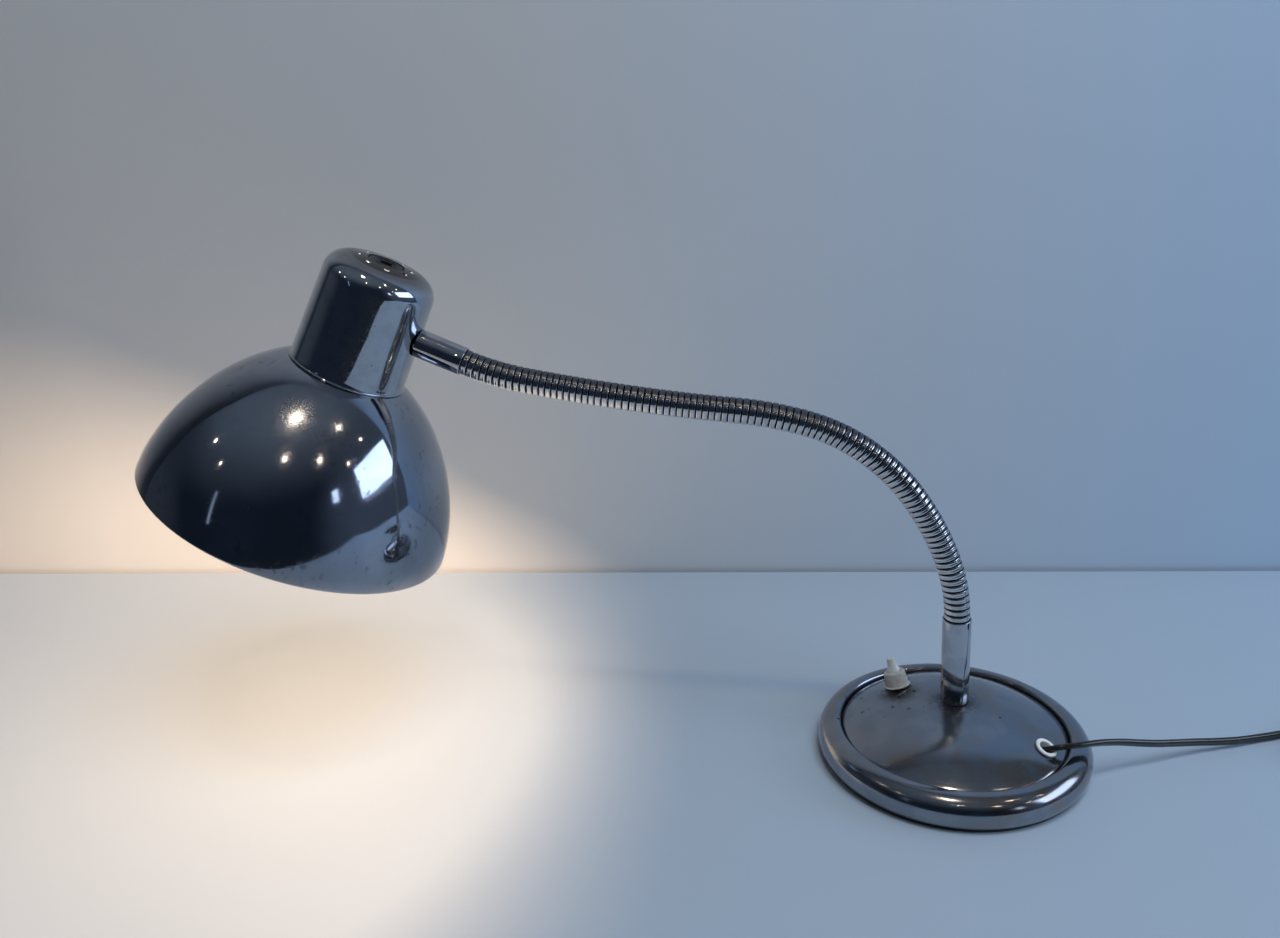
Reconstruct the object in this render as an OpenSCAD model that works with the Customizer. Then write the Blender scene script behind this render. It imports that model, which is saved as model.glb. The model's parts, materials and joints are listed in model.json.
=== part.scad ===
// Gooseneck desk lamp: weighted dome base, flexible neck, cap and reflector shade.
// Millimetres, +Z up, origin at the centre of the foot on the table, head towards -X.

/* [Base] */
// Widest diameter of the base
base_d = 150; // [140:1:165]
// Height of the dome's top above the table
dome_top = 35; // [32:0.5:38]
// Width of the rim, from its groove to the edge
rim_w = 13; // [12:0.5:16]
// Height of the groove's bottom
groove_z = 17; // [15.5:0.5:18]
// Height of the rim's crest
rim_top = 20; // [19:0.5:22]
// Rounding of the rim's outer edge
rim_round = 11; // [10:0.5:12]
// Sheet thickness of the dome
shell_t = 1.2; // [0.8:0.1:1.6]
// Thickness of the felt
felt_t = 1.5; // [1.2:0.1:2]
// Thickness of the bottom plate
plate_t = 1; // [0.8:0.1:1.5]

/* [Stem] */
// Wall of the stem and the ferrule around the neck
tube_t = 0.7; // [0.6:0.1:1.2]
// Visible length of the stem
stem_l = 50.8; // [40:1:80]
// Lean of the stem towards the head
stem_lean = 1.9; // [0:0.1:3]
// Thread diameter of the nipples
nipple_d = 10; // [9:0.5:10.5]

/* [Neck] */
// Outer diameter of the ribbed neck
neck_d = 14; // [13:0.5:16]
// Bore of the neck
neck_bore = 6.6; // [6:0.2:7]
// Length of one stretch between two bends
link_l = 37.3; // [34:0.1:42]
// Width of one rib with its groove
rib_pitch = 3.54; // [3:0.02:4]
// Depth of the grooves between the ribs
rib_depth = 0.6; // [0.4:0.1:0.8]
// Wall of the socket around the ball that joins two stretches
socket_t = 1.54; // [1.4:0.02:2]
// Diameter of the two-core lead inside
lead_d = 5.2; // [4:0.1:5.4]

/* [Head] */
// Tilt of the cap and the shade from upright
head_tilt = 25.5; // [15:0.5:30]
// Turn of the head about its ferrule
head_roll = 3.5; // [0:0.5:6]
// Lower diameter of the cap
cap_d = 63.4; // [60:0.2:68]
// Height of the cap
cap_h = 65; // [60:1:72]
// Narrowing of the cap's radius towards its top
cap_taper = 1.4; // [0:0.1:2]
// Rounding of the cap's top edge
cap_round = 11.3; // [9:0.1:13]
// Sheet thickness of the cap
cap_t = 1; // [0.8:0.1:1.2]
// Height of the ferrule's axis below the cap's top
ferrule_drop = 35; // [32:1:38]
// Visible length of the ferrule
ferrule_l = 27; // [22:1:35]
// Diameter of the shade's rim
shade_d = 175.4; // [165:1:190]
// Distance from the cap's top to the shade's rim
rim_drop = 153.3; // [148:0.5:160]
// Fullness of the shade's curve: 1 is a paraboloid, 2 an ellipsoid
shade_full = 1.6; // [1.5:0.02:1.7]
// Sheet thickness of the shade
shade_t = 0.8; // [0.6:0.1:1]
// Number of vent holes in the cap
vents = 8; // [6:1:10]

/* [Switch and cord] */
// Distance of the switch from the centre
switch_r = 36.5; // [34:0.5:38]
// Direction of the switch
switch_az = 143.5; // [135:0.5:150]
// Distance of the grommet from the groove
grommet_in = 10; // [9:0.5:12]
// Direction of the grommet
grommet_az = -30; // [-32:0.5:-28]
// Travel of the push-button
button_travel = 3; // [2:0.5:3.5]
// Width of the mains cord
cord_d = 5.2; // [4.8:0.1:5.2]
// Radius of the coil's outermost turn
coil_r = 40; // [38:0.5:42]

/* [Hidden] */
$fn = 72;
BENDS = 9;

// Clearances
seat_gap = 0.3;       // between soft or curved faces that lie against each other
fit_gap = 0.1;        // between a shaft and its hole in one body
ball_gap = 0.06;      // between a ball and its socket
thread_gap = 0.05;    // between a nipple and what is screwed onto it
edge = 0.5;           // bevel of the metal tubes' ends

// Base
base_r = base_d / 2;
groove_r = base_r - rim_w;
dome_rise = dome_top - groove_z;
dome_r = (pow(groove_r, 2) + pow(dome_rise, 2)) / (2 * dome_rise);
rim_z = rim_top - rim_round;                    // height of the widest place
foot_round = 9.2;                               // rounding from there down to the foot
floor_z = felt_t + plate_t;                     // underside of the weight
// Angle and radius at which the foot's rounding ends on the felt
function foot_dip(inset) = asin((rim_z - felt_t) / (foot_round - inset));
function foot_at(inset) = base_r - foot_round + (foot_round - inset) * cos(foot_dip(inset));
plate_r = foot_at(shell_t) - seat_gap;
felt_r = foot_at(0) - seat_gap;
weight_r = base_r - shell_t - 4;
weight_gap = 2.5;                               // between dome and weight
recess_r = 14;                                  // recess of the nut under the weight
recess_z = 18;
screw_d = 3.9;                                  // screws of the bottom plate
screw_head_d = 7.2;
screw_pitch_r = groove_r - 4;
screw_az = [30, 150, 270];
screw_in = 6;                                   // how far they enter the weight

// Stem
neck_r = neck_d / 2;
tube_r = neck_r + fit_gap + tube_t;             // stem and ferrule
nipple_r = nipple_d / 2;
nipple_bore = 3.5;
nipple_low = 9;                                 // lower end of the stem's nipple
nipple_in = 14;                                 // how far it enters the stem
stem_foot = 0.15;                               // the leaning stem's clearance on the dome
stem_nut_w = 1.7 * nipple_d;
nut_h = 6;
washer_r = 10.5;
washer_t = 1.2;
neck_in = 12;                                   // how far the neck enters stem and ferrule

// Neck: elevation of each stretch at rest, from the stem to the head
neck_elev = [90 - stem_lean, 68, 55, 36, 15.5, 5, 7, 9, 10.5, 23];
bore_r = neck_bore / 2;
ball_r = neck_r - socket_t - ball_gap;
lead_r = lead_d / 2;
shoulder = 2.5;                                 // from a bend's centre to the next stretch
brim = 1.9;                                     // from a socket's edge to the bend's centre
lead_back = ball_r - 1.4;                       // how far a lead starts before the bend
lead_short = ball_r + 0.6;                      // how far it ends before the next one
lead_out = 3;                                   // how far it shows below the stem's nipple
stem_top = [-stem_l * sin(stem_lean), 0, dome_top + stem_l * cos(stem_lean)];
function aim(e) = [-cos(e), 0, sin(e)];
function reach(i) = (i == 0 || i == BENDS) ? link_l / 2 : link_l;
// Start of stretch i
function bend_at(i) = i == 0 ? stem_top : bend_at(i - 1) + reach(i - 1) * aim(neck_elev[i - 1]);
ferrule_at = bend_at(BENDS) + reach(BENDS) * aim(neck_elev[BENDS]);

// Head, heights measured from the centre of the cap's top
cap_r = cap_d / 2;
cap_top_r = cap_r - cap_taper;
cap_dome = 2;                                   // rise of the cap's top
head_centre = ferrule_at + (ferrule_l + cap_r - 1) * aim(neck_elev[BENDS]);
recess_d = 19.6;                                // recess in the cap's top
recess_h = 2.5;
cap_nut_h = 1.7;
vent_d = 2.8;
vent_pcd = 28;
shank_l = 8;                                    // ferrule's threaded shank inside the cap
shank_nut_w = 1.4 * nipple_d;
shank_nut_h = 3.4;
holder_r = 19.7;
holder_top = -9;
holder_cap_h = 15;
holder_wall = 1.8;
holder_floor = 4;                               // insulating floor above the contacts
socket_top = holder_top - holder_cap_h - fit_gap - holder_floor;
collar_r = cap_r - cap_t - seat_gap;            // shade's collar inside the cap
collar_h = 6;
flange_z = collar_h - cap_h;                    // top of the shade's flange
ring_r = (holder_r + collar_r) / 2 + 1;         // ring that holds the shade
ring_h = 6;
shade_r = shade_d / 2;
shade_h = rim_drop - cap_h;                     // height of the cap's edge above the rim
shade_rise = shade_h / pow(1 - pow(cap_r / shade_r, 2), 1 / shade_full);

// Bulb: standard thread of 27 mm
thread_r = 13.2;
bulb_r = 30;
bulb_l = 105;
bulb_cap_l = 24;
contact_z = socket_top - 2.9;                   // tip of the bulb's cap
bulb_end = contact_z - bulb_l;
bulb_neck_z = contact_z - bulb_cap_l;
glass_t = 0.8;

// Switch, in its own frame on the dome
barrel_r = 5.4;
barrel_bore = 4.4;
barrel_l = 6.3;
housing_r = 9;
housing_l = 17;
housing_top = -shell_t - seat_gap - pow(housing_r, 2) / (2 * dome_r);
bore_low = -14;                                 // floor of the bore
collar_h0 = 0.25;
collar_top = 9.8;
lip_z = 8;                                      // underside of the collar's lip
button_r = 3.7;
button_top = 20.3;
button_neck_z = 12.5;                           // where the button starts to narrow
guide_r = 4.3;
guide_h = 2.9;
guide_z = lip_z - fit_gap - guide_h;
rod_r = 1.6;
rod_low = bore_low + button_travel + 2;
spring_turns = 6;
spring_r = 3.3;
spring_wire = 0.35;
spring_low = bore_low + 0.6;
spring_high = guide_z - 0.6;
pocket_r = housing_r + 5;
pocket_in = 2.5;                                // the switch leans towards the centre

// Grommet
cord_r = cord_d / 2;
grommet_bore = cord_r + 1.15;
grommet_or = grommet_bore + 2.25;
grommet_neck = grommet_or - 1.3;
grommet_t = 1.6;
grommet_low = -3;
grommet_r = groove_r - grommet_in;
cord_pocket_r = 11;
cord_pocket_at = grommet_r - 4;

// Cord clamp and terminal block
clamp_pitch = cord_r + 2;                       // from the cord's axis to a screw
clamp_w = 2 * clamp_pitch + 5.6;
clamp_l = 8;
clamp_t = 2;
clamp_r = cord_pocket_at - cord_pocket_r - clamp_l;
clamp_z = 11;                                   // height of the cord's axis there
clamp_low = clamp_z - cord_r - 0.2 - clamp_t;
clamp_screw_r = 1.25;
channel_w = clamp_w + 2;
channel_z = clamp_z + cord_r + 2.2;
block_az = 60;
block_in = 4;                                   // how near it comes to the centre
block = [8.5, 10, 5.5];
wire_r = 0.7;
// Single wires: two from the switch to the block, two from the cord, one from the block
wire_routes = [
    [[-26.2, 13.9, 7.9], [-22, 12.4, 6.2], [-13, 8, 4.8], [-7, 8, 4.8], [-2.4, 8.2, 4.8]],
    [[-20.9, 21, 7.9], [-17.5, 17.2, 6.2], [-10, 12, 4.8], [-5, 10.6, 4.8], [-1.1, 10.4, 4.8]],
    [[17.1, -9.9, 12.1], [14.5, -7, 10.6], [12.4, -2, 7.6], [10.6, 2.6, 5.8], [8.9, 4.2, 5.4]],
    [[17.1, -9.9, 9.8], [13.5, -8.2, 8], [8, -5, 4.6], [3, -2, 4.2], [1.4, -0.8, 5.2]],
    [[1.7, 3.1, 4.2], [1.2, 2.3, 4], [0.8, 1.4, 4.2], [0.8, 0.9, 5.2]]];

// Cord, lying free from the grommet to its coil, and from there to the plug
cord_start = [42.6, -24.9, 20.9];
cord_route = [cord_start, [46.4, -26.3, 22.8], [50.6, -27, 24.3], [54.9, -26.9, 25.2],
    [59.3, -26, 25.5], [63.5, -24.4, 25.2], [71, -20.6, 24.1], [79.3, -16, 22.2],
    [88.2, -11.4, 19.8], [98, -6.9, 17], [109, -2, 14.1], [121, 4, 11.2], [134, 10, 8.6],
    [147, 15, 6.4], [160, 20.2, 4.6], [173, 26, 3.3], [187, 31.7, 2.7], [198, 36.6, 2.7],
    [203, 38.8, 2.7]];
tail_route = [[279, -4, 7.5], [279, -8, 7.2], [279, -12, 7], [279, -18, 7], [279, -24, 7]];
inner_route = [cord_start, [38.8, -23.5, 19], [35, -21.2, 15.2], [31.2, -18.4, 12],
    [26.5, -15.4, 11.1], [21, -12.2, 11], [17.5, -10.1, 11]];
coil_c = [237, 10];
coil_turns = 4;                                 // turns in one layer
coil_h = 2 * cord_d;
coil_out = coil_r + cord_r + 1.8;
coil_in = coil_r - coil_turns * (cord_d + 0.1) - cord_r;
coil_mid = (coil_out + coil_in) / 2;
coil_edge = 1.5;
plug_at = [279, -24, 7];
plug_l = 34;
plug_w = 35;
plug_h = 13.9;
pin_d = 4;
pin_l = 19;
pin_gap = 19;
tie_w = 5;
tie_t = 0.8;

// ---- shared shapes ----

function arc(c, r, a0, a1, n) = [for (k = [0:n])
    let (a = a0 + (a1 - a0) * k / n) [c[0] + r * cos(a), c[1] + r * sin(a)]];
function flip(list) = [for (k = [len(list) - 1:-1:0]) list[k]];
function dome_z(r, inset = 0) = dome_top - dome_r + sqrt(pow(dome_r - inset, 2) - r * r);

// Rings of a tube around the points p
function unit(v) = v / norm(v);
function along(p, i) = unit(p[min(i + 1, len(p) - 1)] - p[max(i - 1, 0)]);
function ring_at(p, i, r, sides) = let (t = along(p, i), u = unit(cross([0, 0, 1], t)),
    w = cross(t, u)) [for (k = [0:sides - 1]) p[i] + r * (cos(360 * k / sides) * u
    + sin(360 * k / sides) * w)];
module tube(p, r, sides) {
    n = len(p);
    points = [for (i = [0:n - 1]) each ring_at(p, i, r, sides)];
    walls = [for (i = [0:n - 2], k = [0:sides - 1]) let (m = (k + 1) % sides, b = i * sides)
        each [[b + k, b + sides + k, b + sides + m], [b + k, b + sides + m, b + m]]];
    ends = [[for (k = [0:sides - 1]) k], [for (k = [sides - 1:-1:0]) (n - 1) * sides + k]];
    polyhedron(points, concat(walls, ends));
}

// Frames
module on_dome(r, az) {
    tip = asin(r / dome_r);
    rotate([0, 0, az]) translate([r, 0, dome_z(r)]) rotate([0, tip, 0]) children();
}
module on_stem() {
    translate([0, 0, dome_top]) rotate([0, -stem_lean, 0]) children();
}
module on_neck(i) {
    translate(bend_at(i)) rotate([0, neck_elev[i] - 90, 0]) children();
}
module on_ferrule() {
    translate(ferrule_at) rotate([0, neck_elev[BENDS] - 90, 0]) children();
}
// Origin at the centre of the cap's top, shade towards -Z
module on_head() {
    translate(head_centre) rotate([0, head_tilt, 0]) rotate([-head_roll, 0, 0])
        translate([0, 0, ferrule_drop]) children();
}
module bored(r_out, r_in, h) {
    difference() {
        cylinder(r = r_out, h = h);
        translate([0, 0, -1]) cylinder(r = r_in, h = h + 2);
    }
}
module hex_nut(across, r_in, h) {
    difference() {
        cylinder(r = across / sqrt(3), h = h, $fn = 6);
        translate([0, 0, -1]) cylinder(r = r_in, h = h + 2, $fn = 48);
    }
}

// ---- base ----

function rim_line(inset) = concat(
    arc([base_r - rim_round, rim_z], rim_round - inset, 98, 0, 14),
    arc([base_r - foot_round, rim_z], foot_round - inset, -8, -foot_dip(inset), 6));
function dome_line(r0, r1, inset, n) = [for (k = [0:n])
    let (r = r0 + (r1 - r0) * k / n) [r, dome_z(r, inset)]];

module base_shell() {
    groove_floor = groove_z + 0.3;
    hole_h = 12;
    color("silver") difference() {
        rotate_extrude($fn = 120) polygon(concat(
            dome_line(0, groove_r - 0.8, 0, 16), [[groove_r, groove_floor]],
            rim_line(0), flip(rim_line(shell_t)),
            [[groove_r, groove_floor - 1.4 * shell_t]],
            flip(dome_line(0, groove_r - 1.4, shell_t, 16))));
        on_stem() translate([0, 0, -hole_h / 2]) cylinder(r = nipple_r + seat_gap, h = hole_h);
        on_dome(switch_r, switch_az) translate([0, 0, -hole_h / 2])
            cylinder(r = barrel_r + fit_gap, h = hole_h);
        on_dome(grommet_r, grommet_az) translate([0, 0, -hole_h / 2])
            cylinder(r = grommet_neck + fit_gap, h = hole_h);
    }
}
module base_weight() {
    boss_r = recess_r + 2;
    color("dimgray") difference() {
        rotate_extrude($fn = 96) polygon(concat(
            dome_line(0, boss_r, shell_t + seat_gap, 4),
            dome_line(boss_r + 1, screw_pitch_r, shell_t + weight_gap, 8),
            [[weight_r - 0.8, rim_z + 3], [weight_r, rim_z], [weight_r, floor_z], [0, floor_z]]));
        on_stem() translate([0, 0, -dome_top]) cylinder(r = nipple_r + 0.6, h = 2 * dome_top);
        cylinder(r = recess_r, h = recess_z);
        channel(switch_az, switch_r - pocket_in, pocket_r, channel_w);
        channel(grommet_az, cord_pocket_at, cord_pocket_r, channel_w);
        on_screws() cylinder(r = screw_d / 2 + thread_gap, h = floor_z + screw_in + 1, $fn = 32);
        on_clamp() cylinder(r = clamp_screw_r + thread_gap, h = clamp_low + 12, $fn = 24);
    }
}
// Pocket through the weight, with a channel from it to the middle
module channel(az, r, pocket, w) {
    rotate([0, 0, az]) {
        translate([r, 0, 0]) cylinder(r = pocket, h = dome_top);
        translate([0, -w / 2, 0]) cube([r, w, channel_z]);
    }
}
module on_screws() {
    for (a = screw_az) rotate([0, 0, a]) translate([screw_pitch_r, 0, 0]) children();
}
module base_plate() {
    color("gray") translate([0, 0, felt_t]) difference() {
        cylinder(r = plate_r, h = plate_t);
        on_screws() translate([0, 0, -1])
            cylinder(r = screw_d / 2 + seat_gap, h = plate_t + 2, $fn = 32);
    }
}
module plate_screws() {
    color("gainsboro") on_screws() {
        translate([0, 0, seat_gap])
            cylinder(r = screw_head_d / 2, h = felt_t - seat_gap, $fn = 32);
        translate([0, 0, felt_t - 0.1])
            cylinder(r = screw_d / 2, h = plate_t + screw_in, $fn = 32);
    }
}
module base_felt() {
    color("black") difference() {
        cylinder(r = felt_r, h = felt_t);
        on_screws() translate([0, 0, -1])
            cylinder(r = screw_head_d / 2 + 0.4, h = felt_t + 2, $fn = 32);
    }
}

// ---- stem ----

module stem() {
    color("silver") on_stem() rotate_extrude() polygon([
        [nipple_r + fit_gap, stem_foot], [tube_r - edge, stem_foot], [tube_r, stem_foot + edge],
        [tube_r, stem_l - edge], [tube_r - edge, stem_l], [neck_r + fit_gap, stem_l],
        [neck_r + fit_gap, stem_l - neck_in - edge], [nipple_r + fit_gap, stem_l - neck_in - edge]]);
}
module stem_nipple() {
    color("goldenrod") on_stem() translate([0, 0, nipple_low - dome_top])
        bored(nipple_r, nipple_bore, dome_top - nipple_low + nipple_in);
}
module stem_nut() {
    washer_low = recess_z - dome_top - washer_t - seat_gap - 0.15;
    color("goldenrod") on_stem() {
        translate([0, 0, washer_low - nut_h]) hex_nut(stem_nut_w, nipple_r + thread_gap, nut_h);
        translate([0, 0, washer_low]) bored(washer_r, nipple_r + fit_gap, washer_t);
    }
}

// ---- what the cord needs in the base ----

module grommet() {
    color("white") on_dome(grommet_r, grommet_az) rotate_extrude() polygon([
        [grommet_bore, grommet_low], [grommet_or - 0.8, grommet_low],
        [grommet_or - 0.8, -shell_t - seat_gap], [grommet_neck, -shell_t - seat_gap],
        [grommet_neck, 0.16], [grommet_or, 0.16], [grommet_or, grommet_t - 0.7],
        [grommet_or - 0.5, grommet_t - 0.15], [grommet_or - 1, grommet_t],
        [grommet_bore + 0.6, grommet_t], [grommet_bore + 0.1, grommet_t - 0.3],
        [grommet_bore, grommet_t - 0.9]]);
}
module on_clamp() {
    rotate([0, 0, grommet_az]) for (s = [-1, 1])
        translate([clamp_r + clamp_l / 2, s * clamp_pitch, 0]) children();
}
module cord_clamp() {
    color("tan") difference() {
        rotate([0, 0, grommet_az]) translate([clamp_r, -clamp_w / 2, clamp_low])
            cube([clamp_l, clamp_w, clamp_t]);
        on_clamp() cylinder(r = clamp_screw_r + 0.25, h = dome_top, $fn = 24);
    }
}
module clamp_screws() {
    head_h = 1.3;
    color("gray") on_clamp() {
        translate([0, 0, clamp_low - head_h]) cylinder(r = 2.4, h = head_h, $fn = 24);
        translate([0, 0, clamp_low - 0.1]) cylinder(r = clamp_screw_r, h = 10, $fn = 24);
    }
}
module terminal_block() {
    color("ivory") rotate([0, 0, block_az])
        translate([block_in, -block[1] / 2, floor_z + thread_gap]) cube(block);
}
module inner_cord() {
    color("darkolivegreen") tube(inner_route, cord_r, 8);
}
module base_wires() {
    color("firebrick") for (route = wire_routes) tube(route, wire_r, 8);
}

// ---- switch ----

module switch_body() {
    color("ivory") on_dome(switch_r, switch_az) difference() {
        union() {
            translate([0, 0, housing_top - housing_l]) cylinder(r = housing_r, h = housing_l);
            translate([0, 0, housing_top - 1]) cylinder(r = barrel_r, h = barrel_l - housing_top + 1);
        }
        translate([0, 0, bore_low]) cylinder(r = barrel_bore, h = 2 * barrel_l - bore_low);
    }
}
module switch_collar() {
    color("ivory") on_dome(switch_r, switch_az) rotate_extrude() polygon([
        [barrel_r + thread_gap, collar_h0], [barrel_r + 1.8, collar_h0],
        [barrel_r + 1.8, collar_h0 + 1.25], [barrel_r + 1.4, collar_h0 + 1.65],
        [barrel_r + 1.1, collar_top - 1.2], [barrel_r + 0.5, collar_top],
        [button_r + fit_gap, collar_top], [button_r + fit_gap, lip_z],
        [barrel_r + thread_gap, lip_z]]);
}
module switch_plunger() {
    color("white") on_dome(switch_r, switch_az) rotate_extrude() polygon([
        [0, rod_low], [rod_r, rod_low], [rod_r, guide_z], [guide_r, guide_z],
        [guide_r, lip_z - fit_gap], [button_r, lip_z - fit_gap], [button_r, button_neck_z],
        [button_r - 0.8, button_top - 1.2], [button_r - 1.4, button_top - 0.3],
        [button_r - 2.5, button_top], [0, button_top]]);
}
module switch_spring() {
    steps = 10 * spring_turns;
    color("gray") on_dome(switch_r, switch_az) tube([for (k = [0:steps])
        let (a = 36 * k, h = spring_low + (spring_high - spring_low) * k / steps)
        [spring_r * cos(a), spring_r * sin(a), h]], spring_wire, 6);
}
module switch_terminals() {
    pin = [4, 3, 2.5];
    color("goldenrod") on_dome(switch_r, switch_az) for (s = [-1, 1])
        translate([-pin[0] / 2, s * 4.5 - pin[1] / 2, housing_top - housing_l - pin[2]]) cube(pin);
}

// ---- neck ----

// Ribbed outline between the heights z0 and z1
function ribs(z0, z1) = let (n = floor((z1 - z0) / rib_pitch), p = (z1 - z0) / n)
    [for (k = [0:n - 1]) each [[neck_r - rib_depth, z0 + k * p], [neck_r, z0 + (k + 0.12) * p],
        [neck_r, z0 + (k + 0.88) * p], [neck_r - rib_depth, z0 + (k + 1) * p - 0.02]]];
module neck_link(i) {
    first = i == 0;
    last = i == BENDS;
    low = first ? -neck_in : shoulder;
    high = last ? reach(i) + neck_in : reach(i) - brim;
    color("silver") on_neck(i) difference() {
        union() {
            rotate_extrude() polygon(concat([[0, low]],
                ribs(first ? seat_gap : low, last ? reach(i) - seat_gap : high), [[0, high]]));
            if (first) translate([0, 0, -neck_in]) cylinder(r = neck_r, h = neck_in + 0.4);
            if (last) translate([0, 0, reach(i) - 0.4]) cylinder(r = neck_r, h = neck_in + 0.4);
            if (!first) {
                sphere(r = ball_r);
                cylinder(r = ball_r - edge, h = shoulder + 1);
            }
        }
        if (!last) translate([0, 0, reach(i)]) sphere(r = ball_r + ball_gap);
        translate([0, 0, -neck_in - 1]) cylinder(r = bore_r, h = link_l + 2 * neck_in + 2);
    }
}
module neck_lead(i) {
    low = i == 0 ? nipple_low - dome_top - stem_l - lead_out : -lead_back;
    high = i == BENDS ? reach(i) + ferrule_l + shank_l + 0.5 : reach(i) - lead_short;
    color("darkolivegreen") on_neck(i) translate([0, 0, low]) cylinder(r = lead_r, h = high - low);
}

// ---- head ----

module head_ferrule() {
    color("silver") on_ferrule() rotate_extrude() polygon([
        [neck_r + fit_gap, 0], [tube_r - edge, 0], [tube_r, edge],
        [tube_r, ferrule_l - 0.6], [nipple_r, ferrule_l - 0.6],
        [nipple_r, ferrule_l + shank_l], [bore_r, ferrule_l + shank_l],
        [bore_r, neck_in + edge], [neck_r + fit_gap, neck_in + edge]]);
}
module ferrule_nut() {
    color("goldenrod") on_ferrule() translate([0, 0, ferrule_l + 2.6])
        hex_nut(shank_nut_w, nipple_r + thread_gap, shank_nut_h);
}
// Outline of the cap's outside from its recess to its lower edge
function cap_line(inset) = concat(
    [[0, -recess_h - inset], [recess_d / 2 - inset, -recess_h - inset]],
    [for (r = [recess_d / 2 - inset + 0.4, cap_top_r - cap_round - 4])
        [r, -cap_dome * pow(r / (cap_top_r - cap_round), 2) - inset]],
    arc([cap_top_r - cap_round, -cap_dome - cap_round], cap_round - inset, 90, 2, 12),
    [[cap_r - inset, -cap_h]]);
module cap_shell() {
    color("silver") difference() {
        on_head() rotate_extrude($fn = 96) polygon(concat(cap_line(0), flip(cap_line(cap_t))));
        on_head() {
            translate([0, 0, -recess_h - 4]) cylinder(r = nipple_r + fit_gap, h = 8);
            for (k = [0:vents - 1]) rotate([0, 0, 360 * (k + 0.5) / vents])
                translate([vent_pcd / 2, 0, -7]) cylinder(r = vent_d / 2, h = 8, $fn = 24);
        }
        on_ferrule() translate([0, 0, ferrule_l - shank_l])
            cylinder(r = nipple_r + fit_gap, h = 2 * shank_l);
    }
}
module cap_nut() {
    color("dimgray") on_head() translate([0, 0, -recess_h])
        bored(recess_d / 2 - seat_gap, nipple_r + thread_gap, cap_nut_h);
}
module holder_nipple() {
    low = holder_top - 6;
    color("goldenrod") on_head() translate([0, 0, low]) bored(nipple_r, nipple_bore, -1 - low);
}
module holder_cap() {
    low = holder_top - holder_cap_h;
    color("saddlebrown") on_head() rotate_extrude() polygon([
        [nipple_r + thread_gap, holder_top], [12, holder_top], [17, holder_top - 3],
        [holder_r, holder_top - 9], [holder_r, low], [holder_r - holder_wall, low],
        [holder_r - holder_wall, holder_top - 9], [15.5, holder_top - 5],
        [11, holder_top - 3], [nipple_r + thread_gap, holder_top - 3]]);
}
module holder_body() {
    top = socket_top + holder_floor;
    low = -cap_h - 6;
    color("saddlebrown") on_head() rotate_extrude() polygon([[0, top], [holder_r, top],
        [holder_r, flange_z + 2.5], [ring_r - 2, flange_z + 2.5], [ring_r - 2, flange_z + fit_gap],
        [holder_r, flange_z + fit_gap], [holder_r, low], [holder_r - holder_wall, low],
        [holder_r - holder_wall, socket_top], [0, socket_top]]);
}
module screw_shell() {
    low = 8 - cap_h;
    color("goldenrod") on_head() translate([0, 0, low])
        bored(thread_r + 0.9, thread_r + seat_gap, socket_top - thread_gap - low);
}
module holder_contacts() {
    width = 6;
    thick = 0.8;
    side_low = 14 - cap_h;
    color("goldenrod") on_head() {
        translate([-width / 2, -width / 2, contact_z + thread_gap]) cube([width, width, thick]);
        translate([-width / 2, -width / 2, contact_z + thread_gap])
            cube([thick, width, socket_top - contact_z - 2 * thread_gap]);
        translate([thread_r + 1, -width / 2, side_low])
            cube([thick, width, socket_top - side_low - thread_gap]);
    }
}
module head_wires() {
    r = 0.6;
    x = holder_r + r + fit_gap;
    color("firebrick") on_head() for (s = [-1, 1]) tube([[x + 1, s * 1.2, 0.2 - ferrule_drop],
        [x + 0.6, s * 1.5, 3 - ferrule_drop], [x + 0.2, s * 2, 8 - ferrule_drop],
        [x, s * 2.6, 16 - ferrule_drop]], r, 8);
}
function shade_at(h, inset = 0) = (shade_r - inset)
    * sqrt(max(0, 1 - pow(h / (shade_rise - inset), shade_full)));
module shade() {
    n = 26;
    top = shade_h - seat_gap;
    color("silver") on_head() rotate_extrude($fn = 120) polygon(concat(
        [for (k = [0:n]) let (h = top * sin(90 * k / n)) [shade_at(h), h - rim_drop]],
        [[collar_r, -cap_h - seat_gap], [collar_r, flange_z], [holder_r + seat_gap, flange_z]],
        [[holder_r + seat_gap, flange_z - shade_t], [collar_r - shade_t, flange_z - shade_t],
            [collar_r - shade_t, -cap_h - seat_gap - shade_t]],
        [for (k = [n:-1:0]) let (h = (top - shade_t) * sin(90 * k / n))
            [shade_at(h, shade_t), h - rim_drop]]));
}
module shade_ring() {
    color("saddlebrown") on_head() translate([0, 0, flange_z - shade_t - fit_gap - ring_h])
        bored(ring_r, holder_r + fit_gap, ring_h);
}

// ---- bulb ----

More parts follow.
